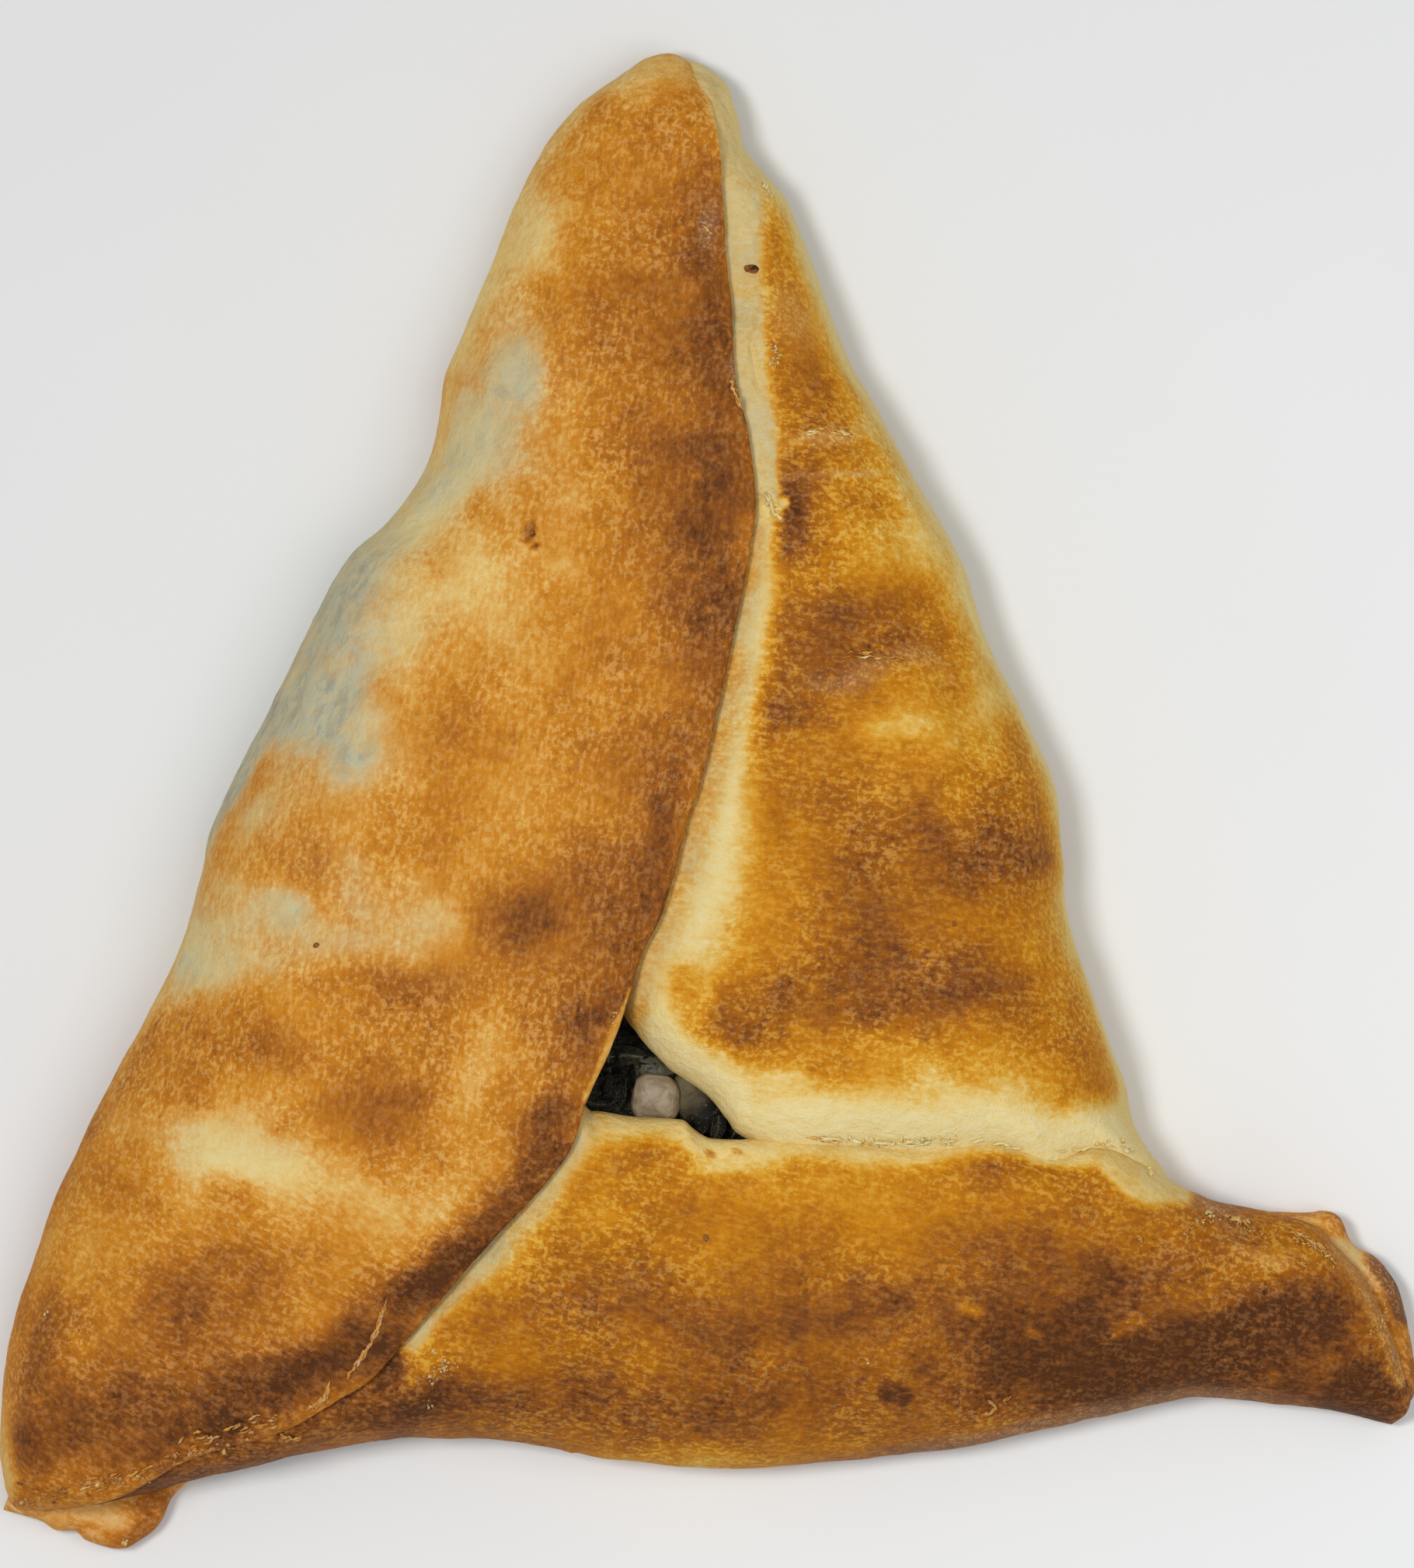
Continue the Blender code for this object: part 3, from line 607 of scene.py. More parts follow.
    def ramp(self, value: object, stops: tuple) -> Socket:
        """A colour for each value, from stops of a place and a colour.

        Args:
            value: The place on the ramp.
            stops: Pairs of a place and a colour.

        Returns:
            The colour.
        """
        node = self.add("ShaderNodeValToRGB", {0: value})
        elements = node.color_ramp.elements
        while len(elements) < len(stops):
            elements.new(0.5)
        for element, (place, colour) in zip(elements, stops):
            element.position = place
            element.color = (*colour, 1)
        return node.outputs["Color"]

    def mix(self, share: object, under: object, over: object) -> Socket:
        """One colour laid over another by a share.

        Args:
            share: How much of the upper colour there is.
            under: The lower colour.
            over: The upper colour.

        Returns:
            The mixed colour.
        """
        node = self.add("ShaderNodeMix", data_type="RGBA")
        sockets = [s for s in node.inputs if s.type == "RGBA"]
        self.feed(node.inputs[0], share)
        for socket, value in zip(sockets, (under, over)):
            self.feed(socket, (*value, 1) if isinstance(value, tuple) else value)
        return [s for s in node.outputs if s.type == "RGBA"][0]

    def bump(self, height: object, strength: float, depth: float) -> None:
        """Fine relief on the shader, to a depth in millimetres."""
        inputs = {"Strength": strength, "Distance": depth * MM, "Height": height}
        self.feed(self.shader.inputs["Normal"], self.add("ShaderNodeBump", inputs).outputs[0])

    def wear(self, colour: object, roughness: object, **fixed: float) -> None:
        """Sets the shader's colour and roughness, and other inputs that are the same all over.

        Args:
            colour: The colour.
            roughness: The roughness.
            fixed: Values of other inputs, by name.
        """
        self.feed(self.shader.inputs["Base Color"], colour)
        self.feed(self.shader.inputs["Roughness"], roughness)
        for name, value in fixed.items():
            self.shader.inputs[name.replace("_", " ")].default_value = value


class Finish:
    """A surface finish, whose material is made once and shared."""

    made: dict = {}

    def material(self) -> bpy.types.Material:
        """The finish's material.

        Returns:
            The material, made when it is first asked for.
        """
        if self not in Finish.made:
            bench = NodeBench(type(self).__name__)
            self.dress(bench)
            Finish.made[self] = bench.material
        return Finish.made[self]

    def dress(self, bench: NodeBench) -> None:
        """Builds the nodes, in each kind of finish."""
        raise NotImplementedError


@dataclass(frozen=True)
class BakedDough(Finish):
    """Baked dough, from cream through gold to dark brown, with pale flecks.

    The marks brown, grey, flour and fleck at the points say how browned the dough is, how much
    green grey it shows (the filling seen through thin dough, and painted shade beside the edge of
    a flap that lies over it), how much flour or dry crumb lies on it, and how strongly it is
    flecked.
    """

    tones: tuple = (
        (0.00, (0.77, 0.66, 0.34)),
        (0.12, (0.76, 0.57, 0.21)),
        (0.25, (0.70, 0.43, 0.105)),
        (0.38, (0.63, 0.30, 0.040)),
        (0.50, (0.56, 0.215, 0.012)),
        (0.62, (0.44, 0.150, 0.009)),
        (0.75, (0.32, 0.100, 0.009)),
        (0.87, (0.20, 0.061, 0.010)),
        (1.00, (0.085, 0.028, 0.008)),
    )
    fleck_tones: tuple = (
        (0.15, (0.77, 0.62, 0.30)),
        (0.40, (0.75, 0.44, 0.10)),
        (0.65, (0.61, 0.30, 0.065)),
        (0.85, (0.40, 0.18, 0.060)),
        (1.00, (0.27, 0.115, 0.042)),
    )
    grey: tuple = (0.46, 0.445, 0.305)
    grey_dark: tuple = (0.34, 0.33, 0.245)
    flour: tuple = (0.67, 0.52, 0.34)
    film: tuple = (0.37, 0.225, 0.115)
    blue: float = 1.0
    lie: float = 0.0
    low_lie: float = 0.0
    low_from: float = -0.030
    low_to: float = -0.046
    cloud_size: float = 1.1
    grain_size: float = 0.3
    stroke_size: float = 0.62
    stroke_drawn: tuple = (2.3, 0.8, 1.0)
    chip_size: float = 0.62
    blob_size: float = 0.6
    streak_size: float = 2.2
    streak_drawn: tuple = (1.7, 0.9, 1.0)
    streak_turn: float = 58
    dull: float = 0.62
    relief_depth: float = 0.28

    def strokes(self, bench: NodeBench) -> Socket:
        """Noise drawn out along the way the dough was pulled, which turns towards the lower end.

        Args:
            bench: The material's nodes.

        Returns:
            The noise, from 0 to 1 about 0.5.
        """
        upper, lower = (
            bench.noise(self.stroke_size, 2, 0.55, 0.3, self.stroke_drawn, turn)
            for turn in (self.lie, self.low_lie)
        )
        share = bench.between(bench.along(1), self.low_to, self.low_from)
        return bench.math("MULTIPLY_ADD", bench.math("SUBTRACT", upper, lower), share, lower)

    def tinted(self, stops: tuple) -> tuple:
        """The stops of a ramp with more or less blue in gold and brown; cream and dark brown stay.

        Args:
            stops: Pairs of a place and a colour.

        Returns:
            The stops in their new colours.
        """
        made = []
        for place, (red, green, blue) in stops:
            share = min((place - 0.12) / 0.26, (0.87 - place) / 0.25)
            factor = 1 + (self.blue - 1) * min(max(share, 0.0), 1.0)
            made.append((place, (red, green, blue * factor)))
        return tuple(made)

    def crust(self, bench: NodeBench, noises: tuple) -> Socket:
        """The tone of browned dough, by its level of browning, with darker chips and pale blobs.

        Args:
            bench: The material's nodes.
            noises: The cloud, grain and strokes that break it up.

        Returns:
            The colour.
        """
        cloud, grain, strokes = noises
        brown, fleck = bench.mark("brown"), bench.mark("fleck")
        away, chance = bench.cells(self.chip_size, grain, 0.7)
        spread = bench.between(brown, 0.05, 0.45, -0.22, -0.30)
        broken = bench.sum_of(0.0, (cloud, 0.8), (strokes, 0.7))
        level = bench.math("MULTIPLY_ADD", broken, spread, brown)
        level = bench.math("ADD", level, bench.between(brown, 0.12, 0.45, 0.0, 0.055))
        chip = bench.math("SUBTRACT", chance, 0.5)
        chip = bench.times(chip, bench.between(away, 0.2, 0.7, 0.20, 0.0))
        level = bench.math("MULTIPLY_ADD", chip, fleck, level)
        tone = bench.ramp(bench.sum_of(level, (grain, 0.20)), self.tinted(self.tones))
        soft = bench.noise(self.blob_size, 1, 0.45, 0.4)
        soft = bench.sum_of(soft, (grain, 0.5), (strokes, 0.7))
        blob = bench.times(bench.between(soft, 0.47, 0.68, 0.0, 0.75), fleck)
        blob = bench.times(blob, bench.between(brown, 0.55, 0.95, 1.0, 0.5))
        return bench.mix(bench.at_most(blob, 0.8), tone, bench.ramp(level, self.tinted(self.fleck_tones)))

    def dress(self, bench: NodeBench) -> None:
        """Browned tones, then green grey for the filling through them and for painted shade, then flour
        over both.

        Args:
            bench: The material's nodes.
        """
        cloud = bench.noise(self.cloud_size, 2, 0.55)
        grain = bench.noise(self.grain_size, 2, 0.6)
        strokes = self.strokes(bench)
        tone = self.crust(bench, (cloud, grain, strokes))
        streak = bench.noise(self.streak_size, 4, 0.6, 0.5, self.streak_drawn, self.streak_turn)
        streak = bench.sum_of(streak, (grain, 0.15))
        # Green grey: the filling seen through thin dough, and painted shade beside an overlapping flap's
        # edge
        under = bench.mix(bench.between(streak, 0.42, 0.66), self.grey, self.grey_dark)
        grey_and_painted_shade = bench.times(bench.mark("grey"), bench.sum_of(1.0, (cloud, 1.0), (strokes, 0.8)))
        tone = bench.mix(bench.at_most(grey_and_painted_shade, 1.0), tone, under)
        flour = bench.mark("flour")
        tone = bench.mix(bench.at_most(bench.times(flour, 0.55), 0.7), tone, self.film)
        dust = bench.between(bench.sum_of(grain, (cloud, 0.5)), 0.53, 0.66)
        tone = bench.mix(bench.at_most(bench.times(flour, dust), 1.0), tone, self.flour)
        bench.wear(tone, bench.sum_of(self.dull, (cloud, 0.3), (grain, 0.2)), Specular_IOR_Level=0.06)
        bench.bump(bench.sum_of(cloud, (grain, 0.5), (strokes, 0.2)), 0.7, self.relief_depth)


@dataclass(frozen=True)
class WetSpinach(Finish):
    """Cooked spinach, near black, with brown and green where it is thin, and wet."""

    dark: tuple = (0.006, 0.006, 0.0035)
    green: tuple = (0.034, 0.032, 0.014)
    brown: tuple = (0.062, 0.040, 0.022)
    rib: tuple = (0.20, 0.165, 0.10)
    thin_size: float = 2.2
    ruddy_size: float = 1.1
    grain_size: float = 0.45
    shine: float = 0.34
    relief_depth: float = 0.5

    def dress(self, bench: NodeBench) -> None:
        """Dark leaf with thin places, and pale ribs where the mark rib says so.

        Args:
            bench: The material's nodes.
        """
        thin = bench.between(bench.noise(self.thin_size, 4, 0.65, 0.8), 0.45, 0.75)
        ruddy = bench.between(bench.noise(self.ruddy_size, 3, 0.6, 0.5), 0.5, 0.72)
        tone = bench.mix(thin, self.dark, self.green)
        tone = bench.mix(bench.times(ruddy, 0.6), tone, self.brown)
        tone = bench.mix(bench.mark("rib"), tone, self.rib)
        grain = bench.noise(self.grain_size, 3, 0.6, 0.4)
        wet = bench.between(grain, 0.5, 0.66, 0.5, 0.16)
        bench.wear(tone, wet, Specular_IOR_Level=self.shine)
        bench.bump(bench.sum_of(grain, (thin, 0.5)), 1.0, self.relief_depth)


@dataclass(frozen=True)
class PaleOnion(Finish):
    """Cooked onion flesh, pinkish grey and cloudy."""

    pale: tuple = (0.33, 0.265, 0.170)
    dim: tuple = (0.22, 0.165, 0.105)
    clear: tuple = (0.085, 0.078, 0.045)
    spot: tuple = (0.014, 0.012, 0.007)
    # Painted highlight: pale colour laid on small specks
    shine: tuple = (0.50, 0.42, 0.31)
    cloud_size: float = 1.7
    glassy_size: float = 0.9
    fine_size: float = 0.35
    relief_depth: float = 0.22

    def dress(self, bench: NodeBench) -> None:
        """Cloudy flesh with dim places, clear at the mark clear, painted shine in small pale specks, and a
        wet skin.

        Args:
            bench: The material's nodes.
        """
        cloud = bench.between(bench.noise(self.cloud_size, 3, 0.5, 0.5), 0.36, 0.7)
        fine = bench.noise(self.fine_size, 3, 0.6)
        tone = bench.mix(cloud, self.pale, self.dim)
        spots = bench.between(bench.noise(self.glassy_size, 2, 0.5), 0.46, 0.56)
        tone = bench.mix(bench.mark("clear"), tone, bench.mix(spots, self.clear, self.spot))
        # Painted highlight: the shine colour in small specks
        tone = bench.mix(bench.between(fine, 0.52, 0.75, 0.0, 0.25), tone, self.shine)
        bench.wear(tone, bench.sum_of(0.38, (fine, 0.4)), Specular_IOR_Level=0.3,
                   Subsurface_Weight=0.2, Subsurface_Scale=0.0015)
        bench.bump(bench.sum_of(fine, (cloud, 0.6)), 0.4, self.relief_depth)


@dataclass(frozen=True)
class SoftOnion(Finish):
    """Soft onion, see-through grey, darkened towards the hole's lower right as painted shade, with painted
    glints.
    """

    light: tuple = (0.155, 0.125, 0.066)
    shaded: tuple = (0.010, 0.009, 0.006)
    # Painted highlight: glint colour laid on small specks
    glint: tuple = (0.30, 0.265, 0.20)
    # Line in plan along which the painted shade darkens the onion
    shade_from: tuple = (-0.0028, -0.0300)
    shade_to: tuple = (0.0003, -0.0342)
    cloud_size: float = 1.5
    fine_size: float = 0.4
    relief_depth: float = 0.2

    def dress(self, bench: NodeBench) -> None:
        """Grey that fades to dark along a line in plan as painted shade, with a cloudy break-up and painted
        glints.

        Args:
            bench: The material's nodes.
        """
        start, stop = np.array(self.shade_from), np.array(self.shade_to)
        run = stop - start
        scale = run / (run @ run)
        along = bench.math("MULTIPLY_ADD", bench.along(0), scale[0], -float(start @ scale))
        along = bench.math("MULTIPLY_ADD", bench.along(1), scale[1], along)
        cloud = bench.noise(self.cloud_size, 4, 0.6, 0.6)
        tone = bench.mix(bench.between(bench.sum_of(along, (cloud, 0.7)), 0.1, 0.95), self.light, self.shaded)
        fine = bench.noise(self.fine_size, 3, 0.6)
        # Painted glints on small specks
        tone = bench.mix(bench.between(fine, 0.62, 0.72, 0.0, 0.6), tone, self.glint)
        bench.wear(tone, bench.sum_of(0.42, (fine, 0.4)), Specular_IOR_Level=0.07)
        bench.bump(bench.sum_of(fine, (cloud, 0.6)), 0.6, self.relief_depth)


@dataclass(frozen=True)
class BurntSpeck(Finish):
    """Small dark seeds and scorched specks."""

    dark: tuple = (0.045, 0.018, 0.007)
    brown: tuple = (0.26, 0.095, 0.022)
    cloud_size: float = 0.6
    fine_size: float = 0.25
    relief_depth: float = 0.1

    def dress(self, bench: NodeBench) -> None:
        """Dark brown with a lighter side.

        Args:
            bench: The material's nodes.
        """
        cloud = bench.noise(self.cloud_size, 3, 0.6)
        tone = bench.mix(bench.between(cloud, 0.36, 0.52), self.dark, self.brown)
        fine = bench.noise(self.fine_size, 2, 0.5)
        bench.wear(tone, bench.sum_of(0.6, (fine, 0.3)), Specular_IOR_Level=0.1)
        bench.bump(fine, 0.5, self.relief_depth)


# Browning


@dataclass(frozen=True)
class Patch:
    """An oval place that is more or less browned, or where the filling shows through.

    x, y is its middle, wide and long its reaches along its own axes, and turn the angle in
    degrees from +X to its wide axis. brown, grey, flour and fleck are what it adds to those
    marks at its middle.
    """

    x: float
    y: float
    wide: float
    long: float
    turn: float
    brown: float
    grey: float = 0.0
    flour: float = 0.0
    fleck: float = 0.0

    def share(self, x: np.ndarray, y: np.ndarray) -> np.ndarray:
        """How much of the patch lies at each place: a soft oval hill.

        Args:
            x: Places across.
            y: Places along.

        Returns:
            The share at each place, 1 in the middle.
        """
        angle = np.radians(self.turn)
        right, up = x - self.x, y - self.y
        across = (right * np.cos(angle) + up * np.sin(angle)) / self.wide
        along = (up * np.cos(angle) - right * np.sin(angle)) / self.long
        return np.exp(-1.1 * (across**2 + along**2) ** 1.25)


@dataclass(frozen=True)
class Strip:
    """A strip along a line where the browning is held near one level.

    widths are the strip's widths at equal steps along the line, brown the browning in it,
    soft the share of the width over which it goes over to the rest, and fade the share of its
    length over which it comes and goes at its ends.
    """

    line: tuple
    widths: tuple
    brown: float
    soft: float = 0.8
    grey: float = 0.0
    flour: float = 0.0
    fade: float = 0.0
    steps: int = 90

    def share(self, x: np.ndarray, y: np.ndarray) -> np.ndarray:
        """1 in the strip, 0 well outside it.

        Args:
            x: Places across.
            y: Places along.

        Returns:
            The share at each place.
        """
        curve = curve_through(self.line, np.linspace(0, 1, self.steps))
        away, along = distance_along(x, y, curve)
        width = np.interp(along, np.linspace(0, 1, len(self.widths)), self.widths)
        near = np.maximum(width, 1e-3)
        ends = smooth_step(np.minimum(along, 1 - along), -1e-6, self.fade)
        return ends * (1 - smooth_step(away / near, 1 - self.soft / 2, 1 + self.soft / 2))


@dataclass(frozen=True)
class Bake:
    """How a piece of dough is browned: a base level, patches on it, and strips over them.

    wander is how far the patches' edges stray, strip_wander the strips' share of that, grit how
    strong the flecks are, lie and low_lie the angles of the strokes at the upper and lower end,
    and blue the share of blue in gold and brown. uneven is how far the browning strays by
    itself, the sizes are those of the noises, and most holds brown, grey and fleck down.
    """

    level: float
    patches: tuple = ()
    strips: tuple = ()
    wander: float = 2.6
    grit: float = 0.95
    lie: float = 0.0
    low_lie: float = 0.0
    blue: float = 1.0
    strip_wander: float = 0.18
    wander_size: float = 9.0
    uneven: float = 0.07
    uneven_size: float = 9.0
    mottle_size: float = 3.4
    fleck_size: float = 6.0
    grey_size: float = 4.0
    most: tuple = (0.94, 0.92, 1.3)

    def marks(self, points: np.ndarray, seed: int) -> dict:
        """The marks brown, grey, flour and fleck at each point, with the patches' edges wandering.

        Args:
            points: The piece's points.
            seed: Chooses the noises.

        Returns:
            Each mark's values, by its name.
        """
        flat = points * (1, 1, 0.5)
        sway = [layered_noise(flat, self.wander_size, 4, seed + k) for k in (0, 10)]
        shift = self.wander * np.stack(sway)
        x, y = points[:, :2].T + shift
        marks = {name: np.zeros(len(points)) for name in ("brown", "grey", "flour", "fleck")}
        marks["brown"] += self.level
        marks["fleck"] += 1
        for patch in (Patch(*row) for row in self.patches):
            share = patch.share(x, y)
            for name, values in marks.items():
                values += getattr(patch, name) * share
        x, y = points[:, :2].T + self.strip_wander * shift
        for strip in self.strips:
            share = strip.share(x, y)
            for name in ("brown", "grey", "flour"):
                marks[name] += (getattr(strip, name) - marks[name]) * share
        brown, grey, _, fleck = marks.values()
        uneven = self.uneven * smooth_step(brown, 0.02, 0.3)
        brown += uneven * layered_noise(flat, self.uneven_size, 2, seed + 20)
        brown += uneven * layered_noise(flat, self.mottle_size, 3, seed + 24)
        zone = 0.8 + 0.5 * layered_noise(flat, self.fleck_size, 2, seed + 28)
        fleck *= self.grit * np.clip(zone, 0.25, 1.1) * smooth_step(brown, 0.0, 0.36)
        grey *= 1 + 0.35 * layered_noise(flat, self.grey_size, 3, seed + 34)
        grey *= 1 - 0.85 * smooth_step(brown, 0.18, 0.45)
        for name, most in zip(("brown", "grey", "fleck"), self.most):
            marks[name] = np.clip(marks[name], 0, most)
        return marks


# Dough


@dataclass(frozen=True)
class Edge:
    """How a cushion of dough ends at one side.

    reach is how far in the surface takes to come to its full height, drop the share of the
    height lost at the edge, front the height of the rounded front below the edge, and tuck how
    far the foot of that front is drawn in. later is the edge that this one turns into along the
    side, between the two shares of the side's length in change.
    """

    reach: float
    drop: float
    front: float
    tuck: float
    later: "Edge | None" = None
    change: tuple = (0.0, 1.0)

    def at(self, share: np.ndarray, name: str) -> np.ndarray:
        """One of the edge's sizes at the given shares of its side's length.

        Args:
            share: Shares of the side's length.
            name: Which of its sizes.

        Returns:
            That size at each share.
        """
        first = getattr(self, name) + 0 * share
        if self.later is None:
            return first
        return first + (self.later.at(share, name) - first) * smooth_step(share, *self.change)


DOWN_TO_GROUND = 40.0
OUTER = Edge(17.0, 0.72, DOWN_TO_GROUND, 2.4)
FREE_LOW = Edge(5.0, 0.13, 3.0, 1.2)
FREE = Edge(6.0, 0.05, 3.0, 1.5, FREE_LOW, (0.78, 0.9))
HIDDEN = Edge(14.0, 0.2, 4.0, 1.0)
SEAM_RIM = Edge(10.0, 0.4, 5.0, 1.2)
FAT_RIM = Edge(7.5, 0.25, 5.0, 1.2, SEAM_RIM, (0.28, 0.5))
CORNER_SIDE = Edge(8.0, 0.5, DOWN_TO_GROUND, 1.6)
THIN_RIM = Edge(5.0, 0.17, 2.2, 1.2, CORNER_SIDE, (0.76, 0.86))
UPPER_RIM = Edge(14.0, 0.2, 4.0, 1.2, THIN_RIM, (0.34, 0.4))
CORNER_END = Edge(9.0, 0.55, DOWN_TO_GROUND, 1.5)
RIGHT_CORNER_END = Edge(9.0, 0.45, DOWN_TO_GROUND, 1.5)
LAYER_END = Edge(2.2, 0.5, DOWN_TO_GROUND, 0.5)


@dataclass(frozen=True)
class Fold:
    """A wrinkle or groove along a line in plan: rise(away) = rise times a bell of its width."""

    line: tuple
    width: float
    rise: float
    steps: int = 40
    fade: float = 0.25

    def height(self, x: np.ndarray, y: np.ndarray) -> np.ndarray:
        """What it adds at each place, fading out at both of its ends.

        Args:
            x: Places across.
            y: Places along.

        Returns:
            The rise at each place.
        """
        away, along = distance_along(x, y, curve_through(self.line, np.linspace(0, 1, self.steps)))
        fade = smooth_step(np.minimum(along, 1 - along), 0, self.fade)
        return self.rise * np.exp(-((away / self.width) ** 2)) * fade


@dataclass(frozen=True)
class Cushion:
    """A piece of dough over a four-sided outline in plan, with rounded sides and a flat foot.

    side_a and side_b run from end_c to end_d. A place on it is two shares: across from side_a
    to side_b, and along from end_c to end_d. edges says how each of the four ends, lift how far
    it lies above the common crown, flat_height its height where it is level instead, and folds
    the rows of its wrinkles. The rises and sizes shape its uneven skin.
    """

    name: str
    side_a: tuple
    side_b: tuple
    end_c: tuple
    end_d: tuple
    edges: tuple
    bake: Bake
    lift: float = 0.0
    flat_height: float | None = None
    across_count: int = 150
    along_count: int = 400
    seed: int = 1
    folds: tuple = ()
    lump_rise: float = 0.2
    lump_size: float = 7.0
    grain_rise: float = 0.06
    grain_size: float = 1.6
    fold_bend: float = 1.2
    fold_bend_size: float = 5.0
    smooth_foot: float = 1.5

    def plan(self, across: np.ndarray, along: np.ndarray) -> np.ndarray:
        """Points in plan: the four sides blended to a patch, less the blend of its corners.

        Args:
            across: Shares across.
            along: Shares along.

        Returns:
            The points.
        """
        a = curve_through(self.side_a, along)
        b = curve_through(self.side_b, along)
        c = curve_through(self.end_c, across)
        d = curve_through(self.end_d, across)
        u = across[..., None]
        v = along[..., None]
        near = [np.array(side[0], float) for side in (self.side_a, self.side_b)]
        far = [np.array(side[-1], float) for side in (self.side_a, self.side_b)]
        corners = (1 - v) * ((1 - u) * near[0] + u * near[1]) + v * ((1 - u) * far[0] + u * far[1])
        return (1 - u) * a + u * b + (1 - v) * c + v * d - corners

    def spans(self, across: np.ndarray, along: np.ndarray) -> tuple:
        """Width across and length along the cushion at each place.

        Args:
            across: Shares across.
            along: Shares along.

        Returns:
            The widths and the lengths.
        """
        gap = curve_through(self.side_a, along) - curve_through(self.side_b, along)
        width = np.linalg.norm(gap, axis=-1)
        lengths = [outline_length(side) for side in (self.side_a, self.side_b)]
        return width, lengths[0] * (1 - across) + lengths[1] * across

    def height(self, across: np.ndarray, along: np.ndarray, point: np.ndarray) -> np.ndarray:
        """Height of the top: the crown, let down by a quarter round towards each side.

        Args:
            across: Shares across.
            along: Shares along.
            point: The same places in plan.

        Returns:
            The heights.
        """
        width, length = self.spans(across, along)
        x, y = point[..., 0], point[..., 1]
        full = self.flat_height or crown(x, y) + self.lift + waves(x, y)
        shares = (along, along, across, across)
        distances = (across * width, (1 - across) * width, along * length, (1 - along) * length)
        spans = (width, width, length, length)
        for edge, share, distance, span in zip(self.edges, shares, distances, spans):
            reach = np.minimum(edge.at(share, "reach"), MOST_REACH * span + 0.01)
            outward = 1 - np.clip(distance / reach, 0, 1)
            full = full * (1 - edge.at(share, "drop") * (1 - np.sqrt(1 - outward**2)))
        return full

    def drawn_in(self, across: np.ndarray, along: np.ndarray, share: float) -> tuple:
        """The places moved in from all four sides by this share of each side's tuck.

        Args:
            across: Shares across.
            along: Shares along.
            share: How much of the tuck to take.

        Returns:
            The shares across and along.
        """
        width, length = self.spans(across, along)
        shares = (along, along, across, across)
        spans = (width, width, length, length)
        moved = []
        for edge, place, span in zip(self.edges, shares, spans):
            moved.append(np.minimum(edge.at(place, "tuck") * share / span, MOST_TUCK))
        in_a, in_b, in_c, in_d = moved
        return in_a + across * (1 - in_a - in_b), in_c + along * (1 - in_c - in_d)

    def front_depth(self, across: np.ndarray, along: np.ndarray, rim_height: np.ndarray) -> np.ndarray:
        """Depth of the rounded front below each place of the rim.

        Args:
            across: Shares across.
            along: Shares along.
            rim_height: Heights of the rim at those places.

        Returns:
            The depths.
        """
        here = (across == 0, across == 1, along == 0, along == 1)
        depth = np.zeros(across.shape)
        for edge, share, at_side in zip(self.edges, (along, along, across, across), here):
            front = np.minimum(edge.at(share, "front"), rim_height - FOOT_LEVEL)
            depth = np.where(at_side, np.maximum(depth, front), depth)
        return depth

    def relief(self, points: np.ndarray) -> np.ndarray:
        """Uneven baked skin: lumps of a few millimetres, and finer ones, in millimetres out.

        Args:
            points: The cushion's points.

        Returns:
            How far out each point is moved.
        """
        out = self.lump_rise * layered_noise(points, self.lump_size, 2, self.seed + 40)
        out += self.grain_rise * layered_noise(points, self.grain_size, 2, self.seed + 50)
        bend = self.fold_bend * layered_noise(points, self.fold_bend_size, 2, self.seed + 60)
        for fold in self.folds:
            out += Fold(*fold).height(points[:, 0] + bend, points[:, 1] + bend)
        return out * smooth_step(points[:, 2], FOOT_LEVEL, FOOT_LEVEL + self.smooth_foot)

    def shell(self) -> Shell:
        """The closed surface: grid top, rounded front in rings, and a flat foot.

        Returns:
            The surface.
        """
        across = graded(self.across_count, GRADING)
        u, v = np.meshgrid(across, graded(self.along_count, GRADING))
        point = self.plan(u, v)
        rows = [np.dstack([point, self.height(u, v, point)]).reshape(-1, 3)]
        rim = rim_order(self.across_count, self.along_count)
        rim_u, rim_v = u.reshape(-1)[rim], v.reshape(-1)[rim]
        rim_height = rows[0][rim, 2]
        depth = self.front_depth(rim_u, rim_v, rim_height)
        for turn in np.radians(np.linspace(90 / FRONT_RINGS, 90, FRONT_RINGS)):
            place = self.drawn_in(rim_u, rim_v, 1 - np.cos(turn))
            lower = rim_height - depth * np.sin(turn)
            rows.append(np.column_stack([self.plan(*place), lower]))
        foot = rows[-1].copy()
        foot[:, 2] = FOOT_LEVEL
        rows[-1][:, 2] = np.maximum(rows[-1][:, 2], FOOT_LEVEL + 0.05)
        rows.append(foot)
        faces = [grid_faces(self.across_count, self.along_count)]
        upper = rim
        start = len(rows[0])
        for row in rows[1:]:
            lower = start + np.arange(len(row))
            faces.append(ring_faces(upper, lower))
            upper = lower
            start += len(row)
        made = Shell(np.concatenate(rows), np.concatenate(faces), [list(upper[::-1])])
        if signed_area(rows[0][rim, :2]) < 0:
            made = Shell(made.points, made.faces[:, ::-1], [made.caps[0][::-1]])
        return made

    def build(self) -> bpy.types.Object:
        """The cushion with its relief and browning as a piece.

        Returns:
            The new object.
        """
        made = self.shell()
        made.points = made.points + made.normals() * self.relief(made.points)[:, None]
        made.marks = self.bake.marks(made.points, self.seed)
        finish = BakedDough(blue=self.bake.blue, lie=self.bake.lie, low_lie=self.bake.low_lie)
        return made.piece(self.name, finish, "crust", "crust")


